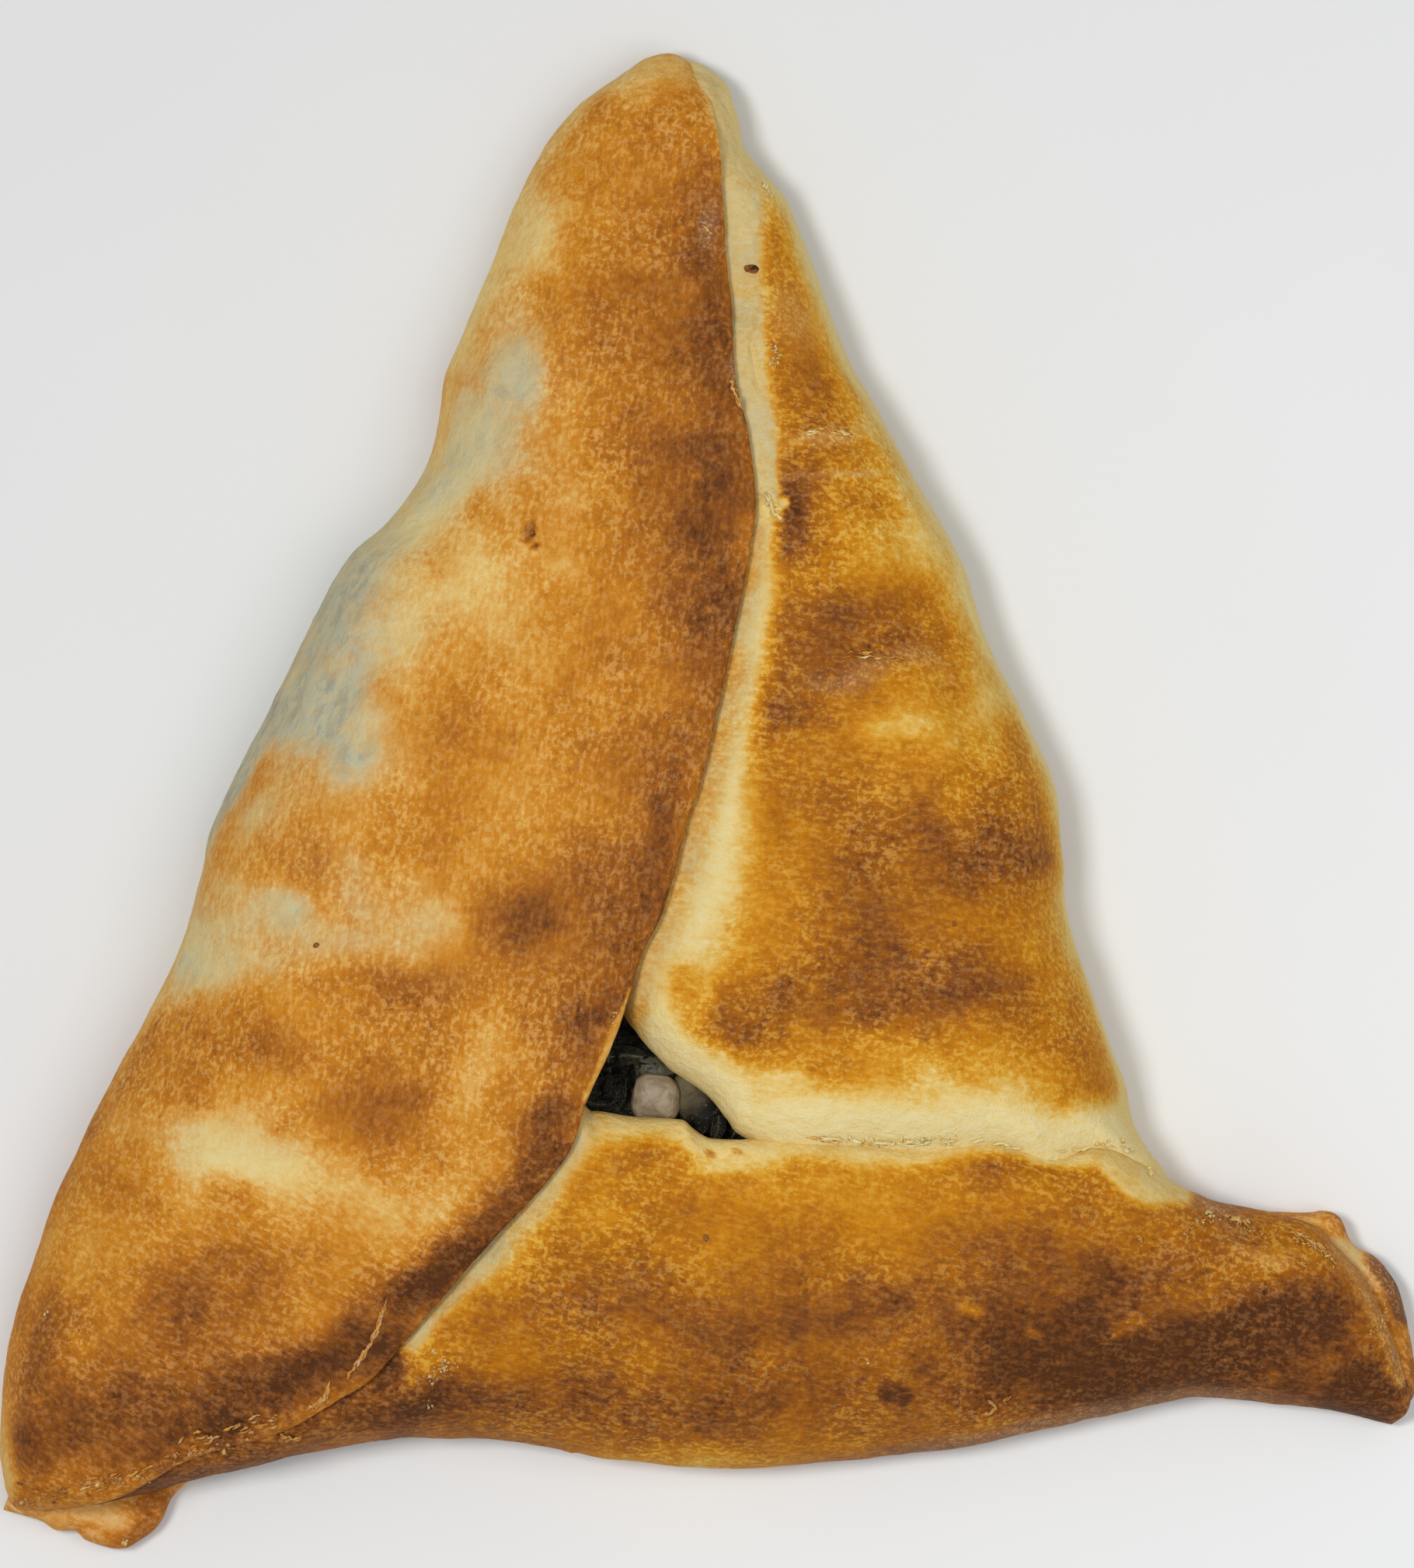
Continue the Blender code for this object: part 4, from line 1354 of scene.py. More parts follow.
# Each row is a Fold: its line, width and rise
LEFT_FOLDS = (
    (((-20.5, 47), (-19, 44.6), (-20, 43)), 1, -0.3),
    (((-24, 42), (-23, 40.3), (-24.5, 39)), 1, -0.25), (((-31, -20), (-25, -28), (-20, -35)), 1.8, 0.3),
    (((-27, -18), (-21, -27), (-17, -34)), 1.6, -0.3), (((-37, -56), (-45, -63), (-56, -67)), 1.2, -0.45),
    (((-41, -62), (-49, -66.3), (-60, -69.6)), 0.9, 0.4),
    (((-48, -64), (-58, -66), (-70, -71)), 1.4, -0.4), (((-60, -62), (-68, -66), (-75, -70)), 2, 0.35),
    (((-50, 6), (-44, -2), (-46, -12)), 2.4, -0.3), (((-36, 30), (-40, 18), (-47, 8)), 2.2, 0.25),
    (((-66, -34), (-56, -44), (-52, -56)), 3, -0.3),
)
RIGHT_FOLDS = (
    (((10, 14.6), (16, 16), (23, 15)), 0.9, 0.35), (((11, 17.4), (17, 18.2), (24, 17)), 1.3, -0.3),
    (((8.5, 39.6), (13, 40.6), (18.5, 39.8)), 0.8, 0.3), (((9, 38.2), (13, 39), (18, 38.4)), 0.8, -0.25),
    (((11.5, 35.6), (16, 36.8), (20.5, 37.2)), 0.8, 0.25), (((5, 56), (5.5, 49), (6.8, 43.5)), 0.7, -0.4),
    (((6.2, 34), (7.2, 31.8), (8.4, 30.4)), 0.7, 0.4), (((16, 10), (22, 8.6), (29, 7.2)), 2.2, 0.3),
    (((14, -2), (24, -6), (35, -6)), 2.6, -0.3),
)
BOTTOM_FOLDS = (
    (((1.2, -37.5), (2, -39), (3, -41.5)), 1.7, -0.35),
    (((55, -48.6), (60, -49.5), (67, -50.6)), 0.9, 0.35),
    (((54, -46.6), (60, -47.6), (66, -48.6)), 1.2, -0.35),
    (((51.6, -48), (52.2, -45.6), (53.5, -43.4)), 0.9, 0.4),
    (((-22, -50), (-14, -52), (-4, -50)), 2.8, -0.3), (((30, -48), (44, -50), (56, -54)), 2.8, 0.3),
    (((-16.5, -71.5), (-15.5, -72.6), (-14, -71.8)), 1, 0.5),
)

# Browning of each piece; a row is a Patch: x, y, wide, long, turn, brown, grey, flour and fleck

LEFT_BAKE = Bake(
    0.45,
    (
        (-5, 81.5, 9, 3.2, 0, -0.16), (2.5, 77, 2.5, 4, 0, -0.20, 0.12), (-5, 72, 5, 4, 0, 0.09),
        (0.7, 60, 5, 11, 0, 0.32), (1.5, 46, 5, 8, 0, 0.28), (2.5, 35, 6, 6, 0, 0.20),
        (-4, 33, 8, 6, 0, 0.20), (1, 20, 5, 12, 10, 0.34), (-8, 49, 8, 18, 0, 0.175),
        (-19, 64, 4, 6, 0, -0.20, 0.08), (-24, 58, 4, 8, -20, -0.10), (-17, 50, 3, 5, 0, 0.12),
        (-21, 45, 5, 7, -10, -0.26, 0.66), (-27, 39, 5, 5, 30, -0.26, 0.45),
        (-30, 32.5, 6, 4, 20, -0.36, 0.3), (-19, 35, 4.5, 5, 0, -0.06, 0.1), (-22, 24, 8, 6, 0, -0.22),
        (-32, 19, 6, 9, 0, -0.21, 0.2), (-38, 26.5, 6, 4.5, 45, -0.30, 0.8),
        (-42, 18, 6, 6, 60, -0.20, 0.95), (-45.5, 10, 5, 7.5, 60, -0.21, 1),
        (-38, 11, 4, 8, 0, -0.12, 0.35), (-37.5, 3, 4.5, 3.5, 0, -0.17, 0.5), (-38, -3, 4, 2, 0, -0.1),
        (-10, 22, 10, 10, 0, 0.12), (-28, 8, 4.5, 4.5, 0, 0.11), (-5, 2, 6, 9, 0, 0.20),
        (-3, -4, 3.5, 9, -15, 0.26), (-12, -11.5, 10, 7, 15, 0.29), (-22, -11.5, 5, 4, 0, 0.22),
        (-9, -19, 4, 7, -25, 0.20), (-14, -26, 4.5, 7, -22, 0.32), (-48, 0, 6.5, 5, -20, -0.22, 0.3),
        (-52, 2.5, 3, 4, 0, 0.14, 0.2), (-43, -5.5, 5, 3, -20, 0.12, 0.2), (-52, -8, 4, 6, 0, -0.06),
        (-47, -12, 5, 3.5, 0, -0.16, 0.5), (-49, -18, 6, 3, 0, -0.15, 0.25),
        (-37, -9, 5, 2.5, -30, -0.10, 0.4), (-30, -11, 5, 4, 0, -0.13, 0.15),
        (-38, -15.5, 7, 3.5, 0, -0.17, 0.4), (-33, -20, 9, 4.5, 0, 0.25),
        (-55.5, -16.5, 4, 7, -12, -0.33, 0.42), (-61.5, -25, 3, 4, 0, 0.14), (-50, -27, 9, 3.2, -15, 0.22),
        (-34, -27, 6, 3, 0, 0.12), (-25.5, -29, 3, 9, -28, -0.15), (-36, -34, 6.5, 4.5, 0, 0.28),
        (-57, -31, 4, 2.5, -20, 0.16), (-54, -36.5, 10, 3.5, -10, -0.28, 0.2),
        (-45, -41.5, 10, 3.2, -14, -0.22), (-59, -40, 5, 3, 0, -0.10), (-63.5, -42, 4, 6, 0, 0.10),
        (-54, -51.5, 8, 4.5, 0, 0.25), (-31, -43.5, 4, 8, -42, -0.13), (-18, -38, 3.5, 6, -30, 0.36),
        (-25, -48, 3.4, 9, -45, 0.42), (-34, -57, 5.5, 9, -50, 0.42), (-45, -64, 9, 4.5, 27, 0.38),
        (-55, -67.5, 8, 4, 22, 0.28), (-58, -59, 14, 7, 0, 0.24), (-65.5, -70, 11, 7, 0, 0.31),
        (-74, -60, 4, 14, 0, 0.18), (-77, -73, 3, 6, 0, 0.22), (0.5, 62, 1.5, 2.5, 0, 0, 0, 0.6),
        (2.6, 46, 1, 2.4, 25, 0, 0, 0.9), (-19, 29, 1.6, 2.2, 0, -0.1),
    ),
    (
        Strip(LEFT_SIDE, (1.2, 1.4, 1.2, 0.6, 0.8, 1.4, 1.4), 0.24, 1.4),
        Strip(LEFT_SIDE[6:14], (0.6, 1.8, 2, 1.6, 1.2, 0.8), 0.16, 1.2, 0.85, fade=0.3),
        Strip(LEFT_SIDE[13:], (0.6, 1.6, 2, 2.4, 2.4), 0.5, 1.2, fade=0.3),
        Strip(((0.8, 79), (2, 74.5), (2.4, 70), (2.2, 66)), (1.6, 1.3, 0.8, 0.3), 0.2, 0.9, 0.1),
        Strip(((-8.6, -20.5), (-10.5, -26.8), (-13.2, -32.4)), (0.25, 0.7, 0.3), 0.3, 1),
        Strip(((-19.5, 29), (-19, 30.6)), (0.7, 0.5), 0.72, 1.2),
        Strip(((-18.8, 27.9), (-18.5, 28.2)), (0.45, 0.4), 0.7, 1.2),
    ),
    grit=0.95, lie=80.0, low_lie=-28.0, blue=1.2,
)
RIGHT_BAKE = Bake(
    0.50,
    (
        (6, 67, 4, 4, 0, -0.14), (10, 58, 3, 5, 0, 0.06), (9, 52, 3, 4, 0, -0.06, 0, 0.3),
        (10, 43.5, 4.5, 5.5, 0, 0.18), (9, 31.5, 4, 6, 0, 0.36), (12, 37, 5, 3, 0, 0.06),
        (11, 40.2, 4, 0.7, 0, -0.22, 0, 0.6), (15, 36.6, 5, 0.6, 12, -0.16, 0, 0.5),
        (18, 32, 4, 3, 0, 0.12), (23, 26, 7, 6, 0, -0.18), (15, 18.5, 9, 4.5, 0, 0.27),
        (18, 15, 6, 1.2, -8, 0.02, 0, 0.3), (22, 8, 5, 2.6, 0, -0.22), (9, 10.5, 7, 5, 0, 0.28),
        (30, 13, 4, 8, -20, -0.28), (29, 4, 5, 6, 0, 0.12), (15, 0, 8, 6, 0, 0.12),
        (26, -6, 13, 5.5, 0, 0.25), (18, -13, 10, 5, 0, 0.25), (20, -19, 9, 4.5, 0, 0.24),
        (8, -21, 9, 3, 0, 0.26), (2, -25, 6, 3, 0, 0.28), (30, -22, 8, 4, 0, 0.18),
        (38, -18, 4, 8, 0, -0.06), (41, -31, 4, 6, 20, 0.08), (6, -13, 4, 5, 0, -0.08),
        (24, -28, 7, 2.5, 0, -0.10), (8, -32, 6, 2, 0, -0.27), (31, -31.3, 9, 3, 0, -0.28),
    ),
    (
        Strip(RIGHT_SIDE, (1.6, 1.6, 1.8, 2.4, 3.2, 2.6, 1.5, 1.3, 1.5, 1.8, 1.8), 0.22, 1.7),
        # Pale, less browned dough beside the left flap's edge; its green grey is painted shade of that edge
        Strip(FREE_EDGE[:8], (6.2, 5, 4.2, 3.3, 2.9, 2.7), 0.20, 0.55, 0.4),
        Strip(FREE_EDGE[7:12], (2.2, 3.8, 3.2, 6, 8.2, 6.2), 0.05, 1.1, 0.08),
        Strip(RIGHT_RIM[1:], (5.6, 4.8, 4.4, 4.8, 5.2, 5.4, 5.4, 5, 5, 5, 5), 0.04, 1),
        # Painted shade: darker green grey band where the left flap's edge shades the right flap
        Strip(FREE_EDGE[7:13], (1.4, 2.2, 2.2, 2.8, 3.2, 2.7, 2), 0.32, 1.3, 0.4),
        Strip(((-3, -19.5), (-1.5, -23.5)), (2.2, 1.8), 0.45, 1.6),
        Strip(((6, 31.5), (8.5, 32.5)), (1.2, 0.6), 0.15, 0.8),
        Strip(RIGHT_SIDE, (0.8, 0.8, 0.7, 0.9, 0.9, 0.8, 0.6, 0.5, 0.6, 0.9, 1.4), 0.10, 1.3),
    ),
    grit=1.12, lie=-6.0, low_lie=-6.0, blue=0.6,
)
BOTTOM_BAKE = Bake(
    0.58,
    (
        (-6, -37.6, 4, 1.8, 0, 0.04), (33, -39, 5, 1.6, -5, 0.08), (2, -38.4, 3, 1.4, 0, -0.30),
        (14, -42, 18, 3, 0, -0.10), (-12, -42, 5, 4, 0, -0.10), (-2, -43, 5, 3, 0, 0.12),
        (-10, -54, 10, 5, 0, 0.10), (-24, -53, 4, 4, 0, -0.08), (-30, -56, 4, 3, -40, 0.12),
        (8, -55.5, 14, 5.5, 0, 0.20), (20, -56, 6, 4, 0, 0.08), (-10, -65, 16, 5, 0, 0.20),
        (12, -66, 13, 4, 0, 0.14), (-4, -73, 13, 3, 0, -0.22), (-31, -67, 9, 3, 5, 0.30),
        (-47, -71, 9, 2.2, 14, 0.30), (-31, -60, 4, 3, 40, -0.12), (36, -62, 15, 6.5, 0, 0.30),
        (34, -53, 11, 4.5, 0, 0.24), (38, -48, 8, 3, 0, 0.16), (44, -43.5, 5, 2.4, 0, 0.12),
        (49, -59, 12, 6, 0, 0.28), (61, -57, 9, 5, 0, 0.42), (50, -49.5, 10, 4, 0, 0.13),
        (58, -64.5, 14, 3, 0, 0.22), (70, -57, 4, 7, 0, 0.24), (72, -66, 6, 3, 0, 0.42),
        (57, -46, 5, 3, 0, 0.08), (36, -57.4, 1.7, 1, 0, -0.24), (47, -55.3, 1, 1.5, 0, -0.2),
        (28, -54.6, 1.7, 0.9, 0, -0.26), (75, -63, 1.6, 1.3, 0, -0.3), (20, -45, 24, 5, 0, 0, 0, 0, -0.7),
        (12, -58, 16, 7, 0, 0, 0, 0, -0.3), (55, -45, 4, 1.2, -15, 0, 0, 0.5),
        (61, -49.5, 5, 1.2, -20, -0.10, 0, 0.3),
    ),
    (
        Strip(
            (*HOLE_RIM[1:], *RIGHT_RIM[SEAM_POINTS]),
            (3.6, 2.4, 2.2, 3.2, 2.2, 2.4, 2.2, 1.8, 1.2, 0.8, 2), 0.15, 1.3,
        ),
        Strip(FREE_EDGE[16:12:-1], (4.2, 3.8, 3, 2.6, 2.4), 0.24, 1.1, 0.1),
        # Painted shade: green grey band where the left flap's lower edge shades the bottom flap
        Strip(FREE_EDGE[17:12:-1], (1.4, 2, 2.2, 2, 1.6), 0.2, 1.2, 0.4),
        Strip(FREE_EDGE[21:16:-1], (4.5, 4, 3.5, 3, 2.5), 0.84, 1.2),
        Strip(((43, -38.5), (48, -41.5), (52, -42.8)), (1, 2.4, 1.5), 0.2, 0.8, 0.1),
        Strip(BOTTOM_SIDE[9:], (0.4, 1, 1.4, 1.6, 1.6, 1.6, 1.2, 0.5), 0.78, 1.3, 0, 0.42, 0.4),
        Strip(
            ((69, -48.5), (72, -52), (74, -56), (75.5, -60), (76, -64)),
            (1, 1.2, 1.3, 1.2, 0.6), 0.6, 1.4, 0, 0.35,
        ),
        Strip(((20.2, -64.7), (21.8, -65.1)), (1.1, 1), 0.94, 0.9),
        Strip(((0, -37.9), (0.6, -38.1)), (0.35, 0.25), 0.55, 1, 0.7),
        Strip(((2.8, -37.8), (3.2, -38)), (0.3, 0.25), 0.5, 1, 0.6),
    ),
    grit=1.15, lie=-14.0, low_lie=-14.0, blue=0.55,
)
TONGUE_BAKE = Bake(
    0.34,
    (
        (-61.5, -78.5, 3, 3, 0, 0.4), (-65, -81.8, 4, 1.4, 0, 0.3), (-76.5, -78.5, 1.6, 1.5, 0, 0.3),
        (-71, -79.6, 2, 0.8, 0, 0.1), (-66, -79, 3, 1.2, 0, -0.1),
    ),
    grit=1.2, lie=-25.0, low_lie=-25.0, blue=1.7,
)
LAYER_BAKE = Bake(
    0.47,
    (
        (76.5, -63, 2, 3, 0, 0.1), (75, -67, 3, 2, 0, 0.4), (69.5, -46.8, 2.6, 1.3, -15, 0.14),
        (65, -46.4, 3, 0.8, 0, -0.1),
    ),
    (
        Strip(((69, -48.8), (71.5, -50.6), (73.6, -53)), (1, 1.3, 1), 0.3, 0.9, 0, 0.25),
        Strip(((73.4, -50.6), (75.4, -52.8), (76.6, -56.4)), (1, 1.4, 1.4), 0.82, 0.9, 0, 0.3),
    ),
    grit=1.2, lie=-40.0, low_lie=-40.0, blue=1.5,
)
UNDER_BAKE = Bake(
    0.60,
    (
        (-20, -30, 30, 18, 0, 0.14), (10, 20, 14, 20, 0, 0.1), (-50, -55, 18, 12, 0, 0.12),
        (55, -58, 14, 6, 0, 0.16), (0, 60, 6, 14, 0, -0.1), (20, -40, 14, 12, 0, -0.08),
        (-10, -10, 40, 40, 0, 0, 0, 0.25),
    ),
    (), 6,
)


class Dough:
    """All the dough: three flaps, the two under layers, and the base they stand on."""

    def left_flap(self) -> Cushion:
        """The flap that lies over the others.

        Returns:
            The cushion.
        """
        return Cushion(
            "left_flap", LEFT_SIDE, FREE_EDGE, TIP_END, LOWER_LEFT_END,
            (OUTER, FREE, CORNER_END, CORNER_END), LEFT_BAKE, LEFT_FLAP_LIFT,
            across_count=176, along_count=440, seed=1, folds=LEFT_FOLDS,
        )

    def right_flap(self) -> Cushion:
        """The flap on the right, with its fat rim at the hole and the seam.

        Returns:
            The cushion.
        """
        tucked = [(x - TUCK_UNDER_LEFT_FLAP, y) for x, y in FREE_EDGE[:FREE_EDGE_POINTS_ABOVE_HOLE]]
        tip = (tucked[0], RIGHT_SIDE[0])
        under_seam = [(x, y - SEAM_OVERLAP) for x, y in RIGHT_RIM[SEAM_POINTS]]
        rim = (tucked[-1], *RIGHT_RIM[1:SEAM_POINTS.start], *under_seam, RIGHT_SIDE[-1])
        return Cushion(
            "right_flap", tuple(tucked), RIGHT_SIDE, tip, rim,
            (HIDDEN, OUTER, CORNER_END, FAT_RIM), RIGHT_BAKE, RIGHT_FLAP_LIFT,
            across_count=170, along_count=340, seed=2, folds=RIGHT_FOLDS,
        )

    def bottom_flap(self) -> Cushion:
        """The flap at the bottom, whose thin rim lies against the right flap along the seam.

        Returns:
            The cushion.
        """
        hidden = [(x - UNDER_LAP, y + UNDER_LAP) for x, y in FREE_EDGE[LOWER_FREE_EDGE]]
        upper = (UPPER_RIM_START, *hidden, *HOLE_RIM, *RIGHT_RIM[SEAM_POINTS], *CORNER_RIM)
        return Cushion(
            "bottom_flap", BOTTOM_SIDE, upper, (BOTTOM_SIDE[0], upper[0]), LOWER_RIGHT_END,
            (OUTER, UPPER_RIM, CORNER_END, RIGHT_CORNER_END), BOTTOM_BAKE, BOTTOM_FLAP_LIFT,
            across_count=130, along_count=440, seed=3, folds=BOTTOM_FOLDS,
        )

    def under_layer(self, name: str, front: tuple, back: tuple, **rest: object) -> Cushion:
        """A level under layer that shows beyond a flap, with its back hidden.

        Args:
            name: Its name.
            front: Its line towards the outside.
            back: Its hidden line.
            rest: The cushion's other sizes, by name.

        Returns:
            The cushion.
        """
        ends = ((front[0], back[0]), (front[-1], back[-1]))
        edges = (LAYER_END, HIDDEN, LAYER_END, LAYER_END)
        return Cushion(name, front, back, *ends, edges, across_count=40, **rest)

    def build(self) -> list:
        """Builds every piece of dough, and the base.

        Returns:
            The new objects.
        """
        left_tongue = self.under_layer(
            "left_tongue", LEFT_TONGUE, LEFT_TONGUE_BACK, bake=TONGUE_BAKE,
            flat_height=LEFT_TONGUE_HEIGHT, along_count=90, seed=4,
        )
        right_layer = self.under_layer(
            "right_layer", RIGHT_LAYER, RIGHT_LAYER_BACK, bake=LAYER_BAKE,
            flat_height=RIGHT_LAYER_HEIGHT, along_count=100, seed=5,
        )
        flaps = (self.left_flap(), self.right_flap(), self.bottom_flap())
        return [layer.build() for layer in (*flaps, left_tongue, right_layer, Base())]


@dataclass(frozen=True)
class Base:
    """The sheet of dough under everything, flat where it rests, with shallow dents.

    spacing is the step round its outline and coarse the step inside it in spacings, inset and
    side_levels place its side, rounding and foot_inset draw in its top and its foot, and reach
    is half the size of the field that it lies in.
    """

    spacing: float = 1.1
    coarse: float = 1.4
    inset: float = 2.3
    foot_inset: float = 0.7
    side_levels: tuple = (0.35, 0.9)
    rounding: float = 0.9
    thickness: float = 1.5
    dents: float = 0.25
    dent_size: float = 8.0
    reach: tuple = (80, 84)

    def outline(self) -> np.ndarray:
        """The whole turnover's outline in plan, anticlockwise, at even steps.

        Returns:
            Its points.
        """
        lower_left = LEFT_TONGUE[1:]
        lower_side = [point for point in BOTTOM_SIDE if point[0] > LEFT_TONGUE[-1][0]]
        corner = RIGHT_LAYER[-2::-1]
        corner_side = [point for point in CORNER_RIM if point[0] < RIGHT_LAYER[0][0]]
        right = RIGHT_SIDE[-2:0:-1]
        lower = (*lower_left, *lower_side, *corner)
        points = (*LEFT_SIDE, *lower, *corner_side[::-1], *right, *TIP_END[2:0:-1], LEFT_SIDE[0])
        count = round(outline_length(points) / self.spacing)
        return curve_through(points, np.arange(count) / count)

    def moved_in(self, outline: np.ndarray, distance: float) -> np.ndarray:
        """The outline moved inwards along its own normals.

        Args:
            outline: The outline.
            distance: How far in.

        Returns:
            The moved points.
        """
        run = np.roll(outline, -2, axis=0) - np.roll(outline, 2, axis=0)
        inward = np.stack([-run[:, 1], run[:, 0]], axis=1)
        return outline + distance * inward / np.linalg.norm(inward, axis=1)[:, None]

    def inside(self, x: np.ndarray, y: np.ndarray, outline: np.ndarray) -> np.ndarray:
        """Whether each place lies inside the outline, by counting its crossings to the right.

        Args:
            x: Places across.
            y: Places along.
            outline: The outline.

        Returns:
            True for each place inside it.
        """
        crossings = np.zeros(x.shape, int)
        for a, b in zip(outline, np.roll(outline, -1, axis=0)):
            if a[1] == b[1]:
                continue
            level = (a[1] > y) != (b[1] > y)
            crossings += level & (x < a[0] + (y - a[1]) * (b[0] - a[0]) / (b[1] - a[1]))
        return crossings % 2 == 1

    def underside(self, outline: np.ndarray) -> tuple:
        """The face below as triangles, whose first points are its edge.

        Args:
            outline: The whole turnover's outline in plan.

        Returns:
            Its points and its faces.
        """
        bottom = self.moved_in(outline, self.inset + self.foot_inset)
        step = self.spacing * self.coarse
        x, y = np.meshgrid(*(np.arange(-reach, reach, step) for reach in self.reach))
        x, y = x.reshape(-1), y.reshape(-1)
        near, _ = distance_along(x, y, np.concatenate([outline, outline[:1]]))
        keep = self.inside(x, y, outline) & (near > self.inset + self.foot_inset + self.spacing)
        count = len(bottom)
        flat = [Vector(place) for place in np.concatenate([outline, np.stack([x[keep], y[keep]], 1)])]
        ring = [(k, (k + 1) % count) for k in range(count)]
        places, _, faces, *_ = delaunay_2d_cdt(flat, ring, [], 1, 1e-5)
        low = np.array([(*place, 0.0) for place in places])
        low[:count, :2] = bottom
        away, _ = distance_along(low[:, 0], low[:, 1], np.concatenate([bottom, bottom[:1]]))
        dent = np.maximum(layered_noise(low, self.dent_size, 3, 71) - 0.1, 0) * self.dents
        low[:, 2] = dent * smooth_step(away, 1.0, 6.0)
        down = np.array([face for face in faces if len(face) == 3])
        a, b, c = (np.array(places)[down[:, k]] for k in range(3))
        turn = (b - a)[:, 0] * (c - a)[:, 1] - (b - a)[:, 1] * (c - a)[:, 0]
        down[turn > 0] = down[turn > 0][:, ::-1]
        return low, down

    def build(self) -> bpy.types.Object:
        """The flat sheet: a triangle mesh below, a rounded rim, and a hidden top.

        Returns:
            The new object.
        """
        outline = self.outline()
        low, down = self.underside(outline)
        count = len(outline)
        sides = [(self.inset, level) for level in self.side_levels]
        sides.append((self.inset + self.rounding, self.thickness))
        rows = [low]
        start = len(low)
        upper = np.arange(count)
        walls = []
        for inset, level in sides:
            rows.append(np.column_stack([self.moved_in(outline, inset), np.full(count, level)]))
            ring_now = start + np.arange(count)
            after, after_now = np.roll(upper, -1), np.roll(ring_now, -1)
            walls += [np.stack([upper, after, after_now], 1), np.stack([upper, after_now, ring_now], 1)]
            upper = ring_now
            start += count
        made = Shell(np.concatenate(rows), np.concatenate([down, *walls]), [list(upper)])
        made.marks = UNDER_BAKE.marks(made.points, 6)
        return made.piece("base", BakedDough(), "crust", "crust")


# Filling


@dataclass(frozen=True)
class Spinach:
    """The filling: a lump of packed leaf under the dough, crumpled where the hole shows it.

    lips are the rings below the rim: a share of the outline, and a height above the foot.
    """

    around: int = 320
    rings: int = 150
    first_ring: float = 0.06
    ring_power: float = 1.7
    fullness: float = 2.6
    rim_rise: float = 2.7
    crumple: float = 0.9
    crumple_size: float = 3.4
    crumple_reach: float = 15.0
    lips: tuple = ((0.985, 1.2), (0.93, 0.0))

    def lump(self) -> Shell:
        """A round grid about the hole, level(share) = a full dome, with ridged noise on it.

        Returns:
            The surface.
        """
        turns = np.arange(self.around) / self.around
        anticlockwise = FILLING_OUTLINE[::-1]
        outline = curve_through(anticlockwise + anticlockwise[:1], turns)
        middle = np.array(FILLING_CENTRE)
        share = np.linspace(self.first_ring, 1, self.rings) ** self.ring_power
        plan = middle + (outline - middle) * share[:, None, None]
        rim_level = FILLING_FOOT_LEVEL + self.rim_rise
        level = rim_level + (FILLING_HEIGHT - rim_level) * np.sqrt(1 - share**self.fullness)
        top = np.dstack([plan, np.repeat(level[:, None], self.around, axis=1)])
        away = np.hypot(top[..., 0] - middle[0], top[..., 1] - middle[1])
        fade = 1 - smooth_step(away, self.crumple_reach * 0.6, self.crumple_reach)
        flat = (top * (1, 1, 0)).reshape(-1, 3)
        ridges = 1 - 2 * np.abs(layered_noise(flat, self.crumple_size, 3, 81))
        top[..., 2] += self.crumple * (ridges.reshape(away.shape) - 0.9) * fade
        rows = [top]
        for share_out, above in self.lips:
            ring = middle + (outline - middle) * share_out
            rows.append(np.dstack([ring[None], np.full((1, self.around), FILLING_FOOT_LEVEL + above)]))
        made = stacked_rings(np.concatenate(rows))
        made.marks = {"rib": np.zeros(len(made.points))}
        return made

    def build(self) -> list:
        """The lump, and the leaves that lie on it at the hole.

        Returns:
            The new objects.
        """
        made = [self.lump().piece("spinach_lump", WetSpinach(), "spinach", "spinach_filling")]
        leaves = as_one([Leaf(*row).shell() for row in LEAVES])
        made.append(leaves.piece("spinach_leaves", WetSpinach(), "spinach", "spinach_filling"))
        return made


